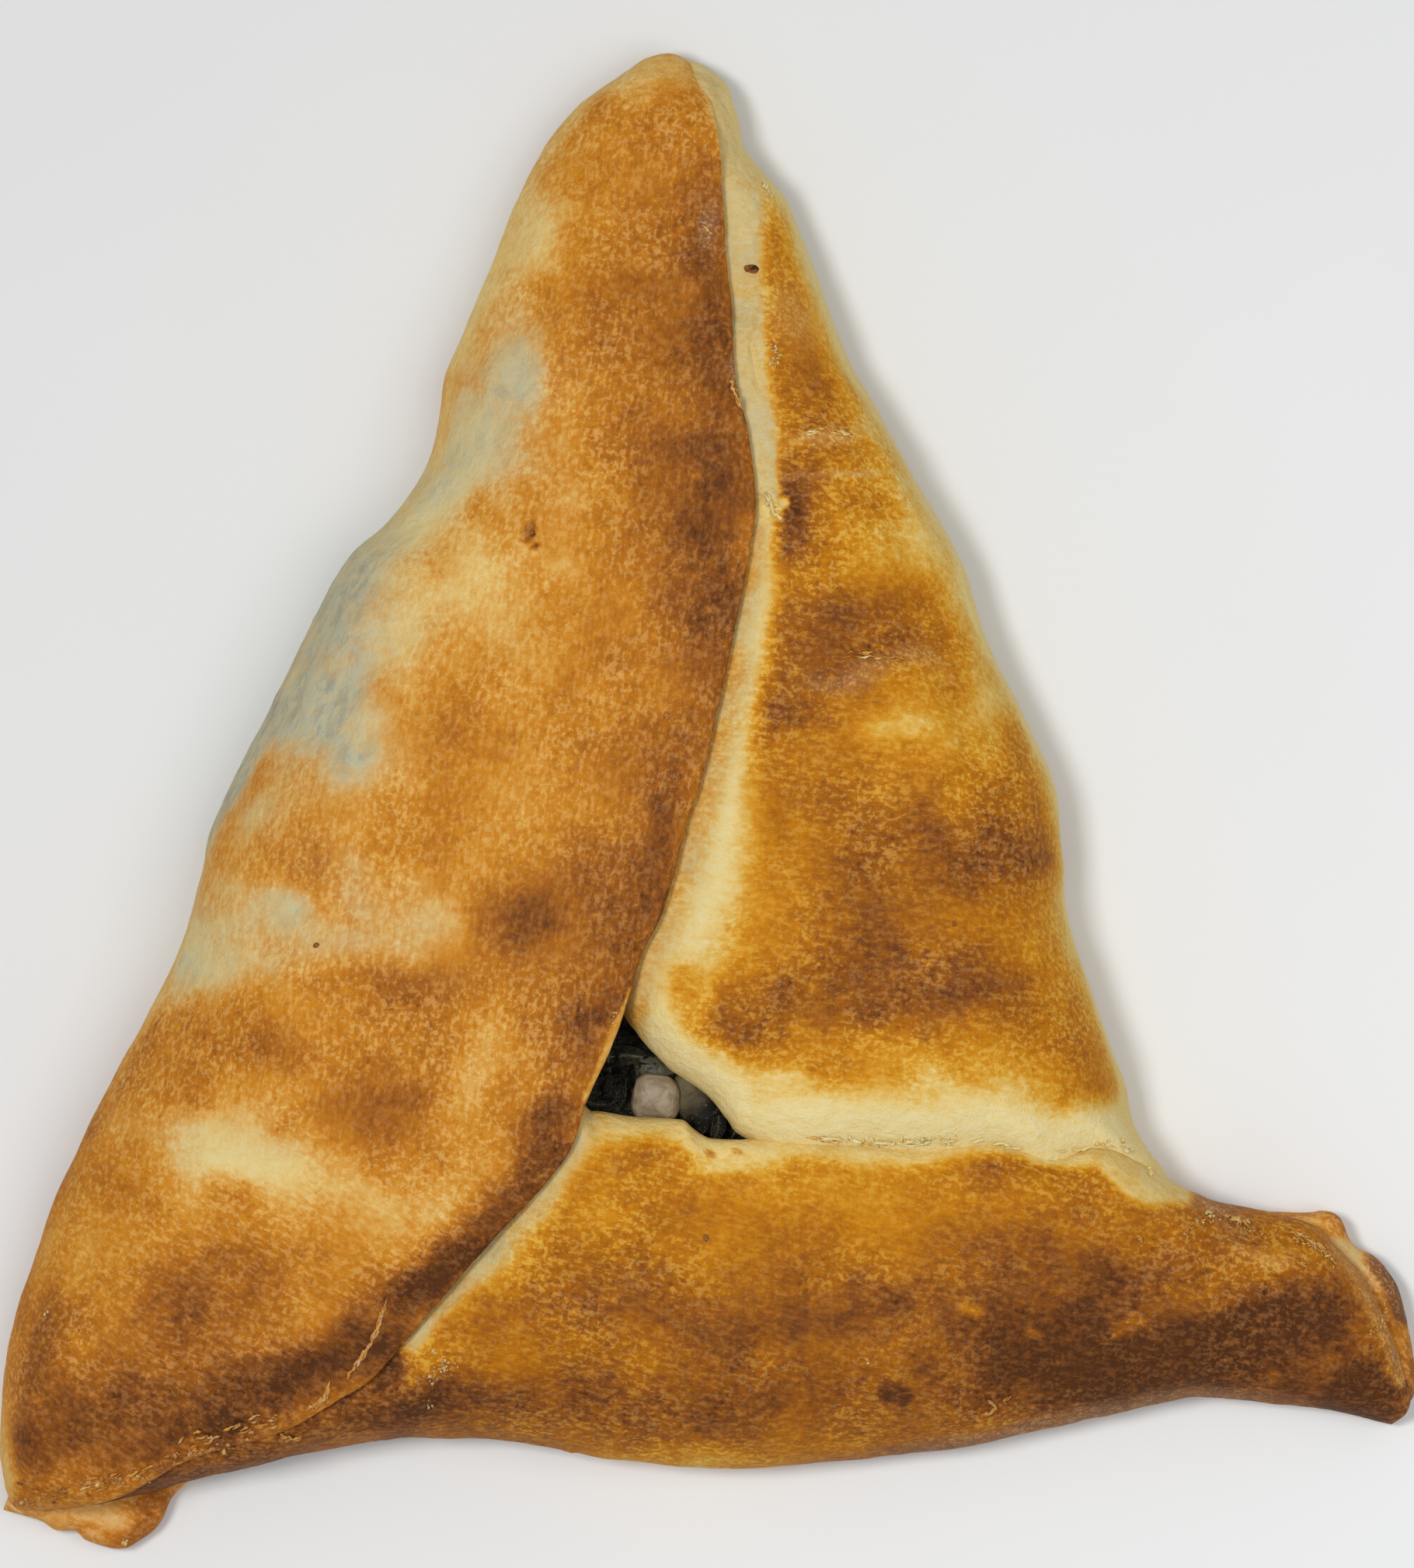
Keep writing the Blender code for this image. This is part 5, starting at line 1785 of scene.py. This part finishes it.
@dataclass(frozen=True)
class Leaf:
    """A limp shred of leaf: a thin strip with a rib, bent along its length and frilled.

    x, y, z is its start, heading its way in degrees, curl how far its sides fold up, bow how
    much its middle rises, and rib how pale its rib is.
    """

    x: float
    y: float
    z: float
    heading: float
    length: float
    width: float
    curl: float = 0.5
    bow: float = 0.6
    rib: float = 0.0
    seed: int = 0
    across_count: int = 15
    along_count: int = 34
    thickness: float = 0.22
    rib_width: float = 0.14
    rib_height: float = 0.18

    def shell(self) -> Shell:
        """A closed thin surface: an upper and a lower grid a leaf's thickness apart.

        Its way turns by a slow sine of its length, its half width is a power of half a sine, and
        its level is a bow, a square of the share across and two sines that frill it.

        Returns:
            The surface.
        """
        t, s = np.meshgrid(np.linspace(-1, 1, self.across_count), np.linspace(0, 1, self.along_count))
        turn = np.radians(self.heading) + 0.5 * np.sin(2.6 * s + self.seed)
        ahead = np.cumsum(np.stack([np.cos(turn), np.sin(turn)], -1), axis=0) / self.along_count
        aside = np.stack([-np.sin(turn), np.cos(turn)], -1)
        half = self.width / 2 * np.sin(np.pi * (0.06 + 0.88 * s)) ** 0.6
        plan = np.array([self.x, self.y]) + ahead * self.length + aside * (half * t)[..., None]
        frill = 0.28 * np.sin(9 * s + 3 * t + self.seed) * t**2 + 0.2 * np.sin(5 * s + self.seed)
        level = self.z + self.bow * np.sin(np.pi * s) + self.curl * t**2 + frill
        upper = np.dstack([plan, level]).reshape(-1, 3)
        upper[:, 2] += 0.25 * layered_noise(upper, 1.4, 2, 90 + self.seed)
        ridge = np.exp(-((t.reshape(-1) / self.rib_width) ** 2)) * (self.rib > 0)
        upper[:, 2] += self.rib_height * ridge
        lower = upper - (0, 0, self.thickness)
        under = grid_faces(self.across_count, self.along_count) + len(upper)
        faces = under[:, ::-1] - len(upper)
        rim = rim_order(self.across_count, self.along_count)
        walls = ring_faces(rim + len(upper), rim)
        ribs = {"rib": np.concatenate([ridge, ridge]) * self.rib}
        return Shell(np.concatenate([upper, lower]), np.concatenate([faces, under, walls]), [], ribs)


# Each row is a Leaf: x, y, z, heading, length, width, curl, bow, rib and seed
LEAVES = (
    (-13, -25, 15.9, -15, 9, 3.2, 0.7, 0.6, 0, 1),
    (-13.5, -29.4, 16, 12, 8, 2.2, 0.6, 0.9, 0.9, 2),
    (-14, -34, 15.8, 55, 6.5, 3.4, 0.9, 0.7, 0.2, 3),
    (-9.8, -23.4, 16, -80, 6.5, 2.6, 0.5, 0.5, 0.5, 4),
    (-11.5, -34.6, 15.6, 80, 6, 2.6, 0.7, 0.9, 0, 5),
    (-12.6, -27, 16.2, 40, 4.5, 1.6, 0.4, 0.6, 0.7, 6),
    (-3.5, -37.2, 15.4, 20, 7.5, 3, 0.6, 0.7, 0, 7),
    (1.3, -36.6, 15.8, 110, 4.6, 1.2, 0.3, 0.8, 0.9, 8),
    (2.6, -36.9, 15.9, 65, 3.2, 1.1, 0.3, 0.9, 0.8, 9),
    (-8.9, -26.4, 15.2, 5, 6, 2.8, 0.6, 0.6, 0, 10),
    (-15, -31.8, 16.2, -5, 5.5, 2, 0.5, 0.4, 0.4, 11),
    (0.2, -37.4, 17, 62, 4.4, 1.6, 0.5, 0.6, 0.35, 12),
    (-1.8, -36.8, 16.8, 30, 4.2, 1.5, 0.5, 0.5, 0.15, 13),
)


@dataclass(frozen=True)
class Lobe:
    """A rounded lump of cooked onion: a ball pulled towards a box, dented and uneven.

    middle, sizes and turn place it, roundness runs from 0, a box, to 1, a ball, and clear says
    how glassy it is.
    """

    middle: tuple
    sizes: tuple
    turn: float = 0.0
    roundness: float = 0.65
    clear: float = 0.0
    seed: int = 0
    around: int = 96
    rings: int = 60
    first_ring: float = 0.05

    def shell(self) -> Shell:
        """The lump as rings of a ball, closed at the poles.

        Returns:
            The surface.
        """
        places = ball(self.around, self.rings, self.first_ring)
        boxy = np.sign(places) * np.abs(places) ** self.roundness
        size = 1 + 0.05 * np.sin(3 * places[..., 0] + 2 * places[..., 1] + self.seed)
        uneven = layered_noise(places.reshape(-1, 3), 0.8, 4, 100 + self.seed)
        size += 0.06 * uneven.reshape(size.shape)
        points = boxy * size[..., None] * np.array(self.sizes) / 2
        made = stacked_rings(turned(points, self.turn) + self.middle)
        made.marks = {"clear": np.full(len(made.points), self.clear)}
        return made


@dataclass(frozen=True)
class OnionChunk:
    """A chunk of cooked onion, of one or more lumps."""

    name: str
    node: str
    lobes: tuple
    finish: Finish
    slot: str

    def build(self) -> bpy.types.Object:
        """The chunk as a piece.

        Returns:
            The new object.
        """
        whole = as_one([lobe.shell() for lobe in self.lobes])
        return whole.piece(self.name, self.finish, self.slot, self.node)


WHITE_ONION = OnionChunk(
    "white_onion_chunk", "onion_white",
    (
        Lobe((-5.8, -32.3, 16.7), (5.3, 5.2, 4.8), -4.0, 0.6),
        Lobe((-5.7, -29.2, 15.5), (5.2, 3.2, 3.0), -6.0, 0.8, 1.0, 2),
    ),
    PaleOnion(), "onion_flesh",
)
GREY_ONION = OnionChunk(
    "grey_onion_chunk", "onion_grey",
    (
        Lobe((-0.7, -33.2, 15.5), (5.4, 7.0, 4.6), 32.0, 0.7, 0.0, 3),
        Lobe((-2.2, -31.2, 15.6), (3.0, 3.4, 4.2), 20.0, 0.75, 0.0, 7),
    ),
    SoftOnion(), "onion_soft",
)


# Crumbs, flakes and specks


class Heights:
    """The highest dough at each place in plan, read from the finished flaps.

    step is a square's width, low the first square's corner, counts how many squares there are
    each way, and empty_at_side how many empty squares of nine tell a side.
    """

    step: float = 0.4
    low: tuple = (-82.0, -86.0)
    counts: tuple = (420, 430)
    empty_at_side: int = 3

    def __init__(self, pieces: list) -> None:
        """Lays the pieces' points on a grid of squares and keeps the highest in each.

        Args:
            pieces: The finished pieces of dough.
        """
        self.map = np.full(self.counts, -1.0)
        for piece in pieces:
            mesh = piece.data
            places = np.empty(len(mesh.vertices) * 3, np.float32)
            mesh.vertices.foreach_get("co", places)
            places = places.reshape(-1, 3) / MM
            column = ((places[:, :2] - self.low) / self.step).astype(int)
            np.maximum.at(self.map, (column[:, 0], column[:, 1]), places[:, 2])

    def at(self, x: np.ndarray, y: np.ndarray) -> np.ndarray:
        """Height of the dough: the highest of the nine squares about each place.

        At the outer sides, where some of the nine are empty, it is that of the place's own
        square, which is below 0 beside the dough.

        Args:
            x: Places across.
            y: Places along.

        Returns:
            The heights.
        """
        column = ((np.stack([x, y], 1) - self.low) / self.step).astype(int)
        shifts = np.array(list(product((-1, 0, 1), repeat=2)))[:, None]
        near = self.map[tuple(np.moveaxis(column + shifts, 2, 0))]
        own = near[len(near) // 2]
        return np.where((near < 0).sum(axis=0) < self.empty_at_side, near.max(axis=0), own)


class Lay(Enum):
    """How crumbs lie: as lumps, as thin flakes or as fine grains."""

    LUMPS = (1.1, 0.85, 0.5)
    FLAKES = (1.5, 0.65, 0.22)
    GRAINS = (0.8, 0.7, 0.5)


@dataclass(frozen=True)
class CrumbRow:
    """Crumbs along a line: how many, how far they stray, their size, browning and flour."""

    line: tuple
    count: int
    stray: float
    size: float
    brown: float
    flour: float
    lay: Lay = Lay.LUMPS
    sunk: float = 0.3


# Each row is a CrumbRow: line, count, stray, size, brown, flour, lay and how far it is sunk
CRUMB_ROWS = (
    (((10.5, -36.4), (18.3, -37), (24.5, -37.2)), 40, 0.3, 0.6, 0.06, 0.1, Lay.FLAKES),
    (((20, -36.9), (24.5, -36.8), (30, -36.6)), 20, 0.4, 0.5, 0.04, 0.1, Lay.FLAKES),
    (((42.5, -37.3), (45, -37.4), (47.5, -38.8)), 16, 0.5, 0.6, 0.05, 0.2),
    (((48.2, -39.4), (48.6, -41)), 7, 0.25, 0.6, 0.02, 0.2),
    (
        ((52.3, -47.4), (53, -46.3), (54.8, -45.8), (57.5, -46.3), (59.4, -47)),
        90, 0.5, 0.38, 0.35, 0.5, Lay.GRAINS, 0.4,
    ),
    (((59, -46.9), (63, -47.6)), 14, 0.3, 0.4, 0.5, 0.5, Lay.GRAINS),
    (
        ((64.2, -47.8), (66.2, -48.6), (68.2, -49.9), (69, -50.9)),
        44, 0.4, 0.45, 0.35, 0.55, Lay.FLAKES, 0.4,
    ),
    (((72.5, -58.5), (74.4, -57), (74.4, -55.2)), 24, 0.4, 0.45, 0.4, 0.6, Lay.FLAKES, 0.4),
    (((-52, -70.3), (-57, -71.3), (-60, -72.4)), 22, 0.6, 0.7, 0.5, 0.7),
    (((-61, -73.6), (-64, -74.2), (-68.5, -75)), 26, 0.6, 0.75, 0.5, 0.6),
    (((-77, -77.2), (-74.5, -77), (-70, -76.2)), 16, 0.4, 0.6, 0.6, 0.4),
    (((-64, -80), (-64.4, -82)), 10, 0.5, 0.6, 0.3, 0.6),
    (((-27, -61), (-28.5, -61.6), (-30.5, -62.8)), 26, 0.7, 0.5, 0.1, 1.5),
    (((-30, -59.9), (-29.8, -60.2)), 5, 0.25, 0.6, 0.05, 1.5),
    (((-30.5, -65.4), (-30, -66)), 4, 0.4, 0.45, 0.1, 1.5),
    (((6.3, 50), (7.6, 49), (7.2, 48)), 24, 0.7, 0.5, 0.15, 0.5, Lay.FLAKES),
    (((6.8, 33.4), (7.2, 31.8), (8, 31.2)), 20, 0.45, 0.6, 0.12, 0.4, Lay.FLAKES),
    (((6, 68.5), (7, 66.6)), 8, 0.2, 0.5, 0.1, 0.3, Lay.FLAKES),
    (((-10, -22.6), (-10.4, -24.2)), 5, 0.2, 0.4, 0.1, 0.4, Lay.GRAINS),
    (((16.5, -60.4), (18.3, -61.2)), 6, 0.5, 0.45, 0.2, 1),
    (((-72.7, -56.2), (-72.4, -56)), 2, 0.1, 0.5, 0.1, 1.2),
)


@dataclass(frozen=True)
class TornRow:
    """Thin torn ridges of skin along a line.

    side says how far from the line they stray, long is a ridge's usual length, and wide its
    usual width.
    """

    line: tuple
    count: int
    side: float
    long: float
    wide: float
    brown: float
    flour: float


# Each row is a TornRow: line, count, side, long, wide, brown and flour
TORN_ROWS = (
    (((-35.2, -53.6), (-36.2, -57.8), (-38.3, -61.3), (-39.6, -63.2)), 16, 0.22, 2.6, 0.34, 0.45, 0.9),
    (((-41.4, -63), (-41.9, -65), (-44.2, -66.6)), 12, 0.25, 2.4, 0.4, 0.4, 1),
    (((-44.4, -66), (-48, -67.6), (-52, -68.6)), 13, 1, 1.3, 0.34, 0.42, 1),
    (((-50.5, -68), (-54.5, -69.6), (-58.5, -70.9)), 12, 0.9, 1.3, 0.36, 0.42, 1),
    (((-57, -71.2), (-62, -72.8), (-69, -75.2)), 15, 1, 1.4, 0.4, 0.45, 0.9),
    (((-44.2, -69.4), (-45.4, -69.7), (-46.8, -69.5)), 8, 0.4, 1.2, 0.4, 0.4, 0.7),
    (((-77, -74.5), (-73, -75.5), (-67.5, -75.8)), 8, 0.6, 1.2, 0.35, 0.6, 0.5),
    (
        ((51.9, -47.4), (52.4, -46), (54.4, -45.1), (57.5, -45.7), (59.6, -46.4)),
        8, 0.45, 1.1, 0.5, 0.3, 0.8,
    ),
    (((63.2, -47), (66.3, -48.2), (68.4, -50.1)), 14, 0.35, 1.4, 0.4, 0.35, 0.8),
    (((62.6, -49.2), (65, -50.2), (67.4, -51.4)), 9, 0.5, 1.3, 0.28, 0.5, 0.5),
    (((46.6, -46.6), (47.5, -48.4)), 3, 0.3, 0.9, 0.26, 0.5, 0.5),
    (((10.5, -36.5), (17, -37.1), (24.8, -37.3)), 14, 0.3, 1.5, 0.4, 0.06, 0),
    (((24, -37.2), (30, -36.9), (36, -38), (43.5, -37.8)), 8, 0.2, 1.8, 0.3, 0.06, 0),
    (((2.2, 46.8), (3, 44.8), (3.7, 42.8)), 12, 0.15, 1.2, 0.3, 0.35, 1),
    (((-0.6, 63.4), (0.7, 62)), 4, 0.3, 0.9, 0.28, 0.3, 0.9),
    (((12.2, 15.2), (16, 15.9), (22.2, 15.3)), 12, 0.5, 1.5, 0.24, 0.4, 0.3),
    (((9.6, 40), (12.4, 40.6), (16.4, 40)), 12, 0.25, 1.6, 0.3, 0.16, 0.4),
    (((6.4, 34), (7.2, 31.8), (8.2, 30.6)), 10, 0.3, 1.5, 0.4, 0.1, 0.3),
    (
        ((29.4, -66), (30.2, -67.1), (31.5, -66.4), (30.6, -65.5), (29.6, -65.8)),
        9, 0.1, 1.6, 0.28, 0.5, 0.7,
    ),
    (((32.3, -65.8), (33.4, -65)), 3, 0.2, 1, 0.26, 0.5, 0.7),
)


@dataclass(frozen=True)
class TornSkin:
    """All the torn ridges of skin, each a tapered strip with a four-cornered section.

    The pairs are the least and the most, by chance, of a ridge's length and width as shares of
    its row's, of its rise as a share of half its width, and of its flour as a share of its row's.
    """

    rows: tuple = TORN_ROWS
    steps: int = 18
    lowest: float = 1.5
    seed: int = 31
    lengths: tuple = (0.4, 1.3)
    widths: tuple = (0.5, 1.1)
    rises: tuple = (0.1, 0.4)
    dusts: tuple = (0.25, 0.8)
    tint: float = 0.1
    depth: float = 0.3

    def ridge(self, row: TornRow, random: np.random.Generator, heights: Heights) -> np.ndarray:
        """The corners of one ridge's sections: it runs along the line and wanders off it.

        Args:
            row: The row that it belongs to.
            random: Where the numbers by chance come from.
            heights: The dough's heights.

        Returns:
            The corners, by section and by place round it.
        """
        t = np.linspace(0, 1, self.steps)
        length = row.long * random.uniform(*self.lengths)
        share = length / outline_length(row.line)
        begin = random.uniform(0, max(1 - share, 0.01))
        middle = curve_through(row.line, np.clip(begin + t * share, 0, 1))
        run = np.gradient(middle, axis=0) + 1e-6
        aside = np.stack([-run[:, 1], run[:, 0]], 1) / np.linalg.norm(run, axis=1)[:, None]
        stray = random.normal(0, row.side / 2) + random.normal(0, 0.4) * length * 0.3 * (t - 0.5)
        wobble = 0.05 * np.sin(2 * np.pi * (t * length / random.uniform(0.9, 2.0) + random.uniform()))
        wobble += 0.06 * np.sin(2 * np.pi * (t * random.uniform(0.5, 1.2) + random.uniform()))
        middle = middle + aside * (stray + wobble)[:, None]
        half = row.wide / 2 * random.uniform(*self.widths) * np.sin(np.pi * (0.02 + 0.96 * t)) ** 0.7
        half *= 1 + 0.35 * np.sin(2 * np.pi * (1.4 * t + random.uniform()))
        level = heights.at(middle[:, 0], middle[:, 1])
        level = np.convolve(np.pad(level, 2, mode="edge"), np.ones(5) / 5, mode="valid")
        rise = half * random.uniform(*self.rises)
        left = np.column_stack([middle - aside * half[:, None], level])
        right = np.column_stack([middle + aside * half[:, None], level])
        top = np.column_stack([middle, level + rise + 0.02])
        under = np.column_stack([middle, level - self.depth])
        return np.stack([left, top, right, under], axis=1)

    def build(self, heights: Heights) -> bpy.types.Object:
        """Every ridge in one piece: side faces between its sections, and a cap at each end.

        Args:
            heights: The dough's heights.

        Returns:
            The new object.
        """
        random = np.random.default_rng(self.seed)
        kept, brown, flour = [], [], []
        for row in (TornRow(*numbers) for numbers in self.rows):
            for _ in range(row.count):
                ridge = self.ridge(row, random, heights)
                tint = row.brown + random.normal(0, self.tint)
                dust = row.flour * random.uniform(*self.dusts)
                if ridge[:, 3, 2].min() > self.lowest:
                    kept.append(ridge)
                    brown.append(tint)
                    flour.append(dust)
        points = np.array(kept).reshape(-1, 3)
        each = self.steps * 4
        ring = np.arange(self.steps)[:, None] * 4 + np.arange(4)
        faces = np.concatenate([ring_faces(a, b) for a, b in zip(ring, ring[1:])])
        faces = np.concatenate([faces, ring[:1], ring[-1:, ::-1]])
        faces = (faces + np.arange(len(kept))[:, None, None] * each).reshape(-1, 4)
        made = Shell(points, faces, [], torn_marks(np.repeat(brown, each), np.repeat(flour, each)))
        return made.piece("torn_skin", BakedDough(), "crust", "crust")


def ball_points() -> tuple:
    """Corners and three-cornered faces of a regular solid of twenty faces.

    Returns:
        The corners and the faces.
    """
    golden = (1 + 5**0.5) / 2
    corners = [(0, a, b * golden) for a, b in product((-1, 1), repeat=2)]
    corners = corners + [(c, a, b) for a, b, c in corners] + [(b, c, a) for a, b, c in corners]
    corners = np.array(corners) / np.hypot(1, golden)
    edge = 2 / np.hypot(1, golden)
    faces = []
    for a, b, c in product(range(12), repeat=3):
        if not a < b < c:
            continue
        sides = [np.linalg.norm(corners[i] - corners[j]) for i, j in ((a, b), (b, c), (a, c))]
        if max(sides) > edge * 1.01:
            continue
        outward = np.cross(corners[b] - corners[a], corners[c] - corners[a]) @ corners[a] > 0
        faces.append((a, b, c) if outward else (a, c, b))
    return corners, np.array(faces)


@dataclass(frozen=True)
class Crumbs:
    """Torn crumbs and flakes of dough at the seam, the corners and the cracks.

    The pairs are the least and the most, by chance, of a crumb's size and flour as shares of its
    row's, and of how far each of its corners is pulled out.
    """

    rows: tuple = CRUMB_ROWS
    lowest: float = 1.5
    seed: int = 11
    sizes: tuple = (0.35, 0.95)
    pulls: tuple = (0.45, 1.55)
    dusts: tuple = (0.3, 1.3)
    lean: float = 0.35
    tint: float = 0.12

    def scattered(self, row: CrumbRow, random: np.random.Generator, heights: Heights) -> Shell:
        """The crumbs of one row: uneven small solids, strayed from its line.

        Args:
            row: The row.
            random: Where the numbers by chance come from.
            heights: The dough's heights.

        Returns:
            The crumbs that lie on the dough.
        """
        corners, faces = ball_points()
        each = len(corners)
        place = curve_through(row.line, random.uniform(0, 1, row.count))
        place = place + random.normal(0, row.stray / 2, place.shape)
        size = row.size * random.uniform(*self.sizes, row.count)
        pulled = corners * random.uniform(*self.pulls, (row.count, each, 1))
        pulled = pulled * np.array(row.lay.value) * size[:, None, None] / 2
        pulled[..., 2] += pulled[..., 0] * random.normal(0, self.lean, (row.count, 1))
        turn = random.uniform(0, 360, (row.count, 1))
        level = heights.at(place[:, 0], place[:, 1])
        points = turned(pulled, turn) + np.column_stack([place, level - size * row.sunk])[:, None]
        brown = row.brown + random.normal(0, self.tint, row.count)
        flour = row.flour * random.uniform(*self.dusts, row.count)
        kept = level > self.lowest
        points, brown, flour = points[kept], np.repeat(brown[kept], each), np.repeat(flour[kept], each)
        shift = np.arange(len(points))[:, None, None] * each
        faces = (faces + shift).reshape(-1, 3)
        return Shell(points.reshape(-1, 3), faces, [], torn_marks(brown, flour))

    def build(self, heights: Heights) -> bpy.types.Object:
        """Every row's crumbs as one piece, set in the dough's surface.

        Args:
            heights: The dough's heights.

        Returns:
            The new object.
        """
        random = np.random.default_rng(self.seed)
        whole = as_one([self.scattered(CrumbRow(*row), random, heights) for row in self.rows])
        return whole.piece("crust_crumbs", BakedDough(), "crust", "crust", smooth=False)


# Middle, sizes along X, Y and Z, and turn of each seed or scorched speck
SPECKS = (
    ((4.8, 58.4), (1.7, 1, 0.7), -5), ((-19.1, 29.3), (0.55, 0.8, 0.3), 20),
    ((-18.6, 28), (0.3, 0.4, 0.2), -30), ((-42.6, -15.5), (0.7, 0.5, 0.3), 30),
    ((-20.2, -41.2), (0.6, 0.6, 0.25), 0), ((-20.2, -37.4), (0.6, 0.4, 0.2), 0),
    ((26.8, -13.2), (0.45, 0.6, 0.2), 0), ((-0.2, -47.4), (0.6, 0.8, 0.2), 20),
)


@dataclass(frozen=True)
class Specks:
    """Seeds and scorched specks stuck on the dough."""

    places: tuple = SPECKS
    seed: int = 21
    around: int = 20
    rings: int = 11
    first_ring: float = 0.15
    uneven: float = 0.16
    uneven_size: float = 0.6

    def speck(self, row: tuple, seed: int, heights: Heights) -> Shell:
        """One speck: an uneven small ball pressed into the surface.

        Args:
            row: Its middle, sizes and turn.
            seed: Chooses how it is uneven.
            heights: The dough's heights.

        Returns:
            The surface.
        """
        (x, y), sizes, turn = row
        points = ball(self.around, self.rings, self.first_ring)
        uneven = layered_noise(points.reshape(-1, 3), self.uneven_size, 2, seed)
        size = 1 + self.uneven * uneven.reshape(points.shape[:2])
        local = points * size[..., None] * np.array(sizes) / 2
        level = heights.at(np.array([x]), np.array([y]))[0]
        return stacked_rings(turned(local, turn) + (x, y, level))

    def build(self, heights: Heights) -> bpy.types.Object:
        """Every speck as one piece.

        Args:
            heights: The dough's heights.

        Returns:
            The new object.
        """
        random = np.random.default_rng(self.seed)
        whole = as_one([self.speck(row, random.integers(1, 50), heights) for row in self.places])
        return whole.piece("specks", BurntSpeck(), "crust", "crust")


# Studio


@dataclass(frozen=True)
class Studio:
    """The pale floor, the soft light and the camera straight above.

    frame_height and middle are the height and the middle of what the camera sees, distance its
    height, and outline_level the height at which that is measured. A lamp is a row of a name, a
    place in metres, a size in metres and a power in watts. The floor's numbers are its size in
    metres, how far below the object it lies, how fast it gets paler to the lower right as painted
    light, the size of its clouds, and its darkest and palest colours.
    """

    frame_height: float = 172.9
    middle: tuple = (-0.1, 2.0)
    distance: float = 1400.0
    outline_level: float = 6.0
    sensor: float = 36.0
    sky: float = 0.40
    lamps: tuple = (("left", (-0.30, 0.05, 1.0), 0.2, 4.8), ("right", (0.35, -0.05, 0.95), 0.6, 2.6))
    floor_size: float = 5.0
    floor_gap: float = 0.1
    painted_light_slope: float = 3.2
    cloud_size: float = 60.0
    floor_dark: tuple = (0.70, 0.705, 0.705)
    floor_pale: tuple = (0.84, 0.85, 0.85)

    def floor(self) -> None:
        """A wide pale floor just below the object, painted paler towards the lower right as light falling
        there.
        """
        mesh = bpy.data.meshes.new("floor")
        half = self.floor_size / 2
        signs = ((-1, -1), (1, -1), (1, 1), (-1, 1))
        corners = [(right * half, up * half, -self.floor_gap * MM) for right, up in signs]
        mesh.from_pydata(corners, [], [(0, 1, 2, 3)])
        bench = NodeBench("PaleFloor")
        cloud = bench.noise(self.cloud_size, 3, 0.5)
        # Painted light: the floor gets paler towards the lower right
        painted_light = bench.math("MULTIPLY_ADD", bench.along(0), self.painted_light_slope, 0.5)
        painted_light = bench.math("MULTIPLY_ADD", bench.along(1), -self.painted_light_slope, painted_light)
        painted_light = bench.at_most(bench.math("MAXIMUM", painted_light, 0), 1)
        tone = bench.mix(bench.sum_of(painted_light, (cloud, 0.2)), self.floor_dark, self.floor_pale)
        bench.wear(tone, bench.sum_of(0.8, (cloud, 0.1)), Specular_IOR_Level=0.1)
        mesh.materials.append(bench.material)
        new_object("floor", mesh)

    def lamp(self, name: str, place: tuple, size: float, power: float) -> None:
        """A square soft light at a place in metres that looks at the object.

        Args:
            name: Its name.
            place: Where it is, in metres.
            size: Its width in metres.
            power: Its power in watts.
        """
        light = bpy.data.lights.new(name, "AREA")
        light.size = size
        light.energy = power
        made = new_object(name, light)
        made.location = place
        made.rotation_euler = (-Vector(place)).to_track_quat("-Z", "Y").to_euler()
        made.visible_camera = False

    def world(self) -> None:
        """An even pale surrounding light."""
        world = bpy.data.worlds.new("room")
        world.use_nodes = True
        background = world.node_tree.nodes["Background"]
        background.inputs["Color"].default_value = (1.0, 1.0, 1.0, 1)
        background.inputs["Strength"].default_value = self.sky
        bpy.context.scene.world = world

    def camera(self) -> None:
        """A long lens straight above, framed as the photograph is."""
        data = bpy.data.cameras.new("camera")
        data.sensor_width = self.sensor
        data.lens = self.sensor * (self.distance - self.outline_level) / self.frame_height
        data.clip_start = 0.01
        data.clip_end = 10.0
        made = new_object("camera", data)
        made.location = (self.middle[0] * MM, self.middle[1] * MM, self.distance * MM)
        bpy.context.scene.camera = made

    def build(self) -> None:
        """Sets up floor, lights, camera and plain colours."""
        self.floor()
        for row in self.lamps:
            self.lamp(*row)
        self.world()
        self.camera()
        bpy.context.scene.view_settings.view_transform = "Standard"


def main() -> None:
    """Builds every piece of the turnover and the studio round it."""
    logging.basicConfig(level=logging.INFO, format="%(message)s")
    dough = Dough().build()
    heights = Heights(dough)
    Spinach().build()
    WHITE_ONION.build()
    GREY_ONION.build()
    Crumbs().build(heights)
    TornSkin().build(heights)
    Specks().build(heights)
    Studio().build()


if __name__ == "__main__":
    main()
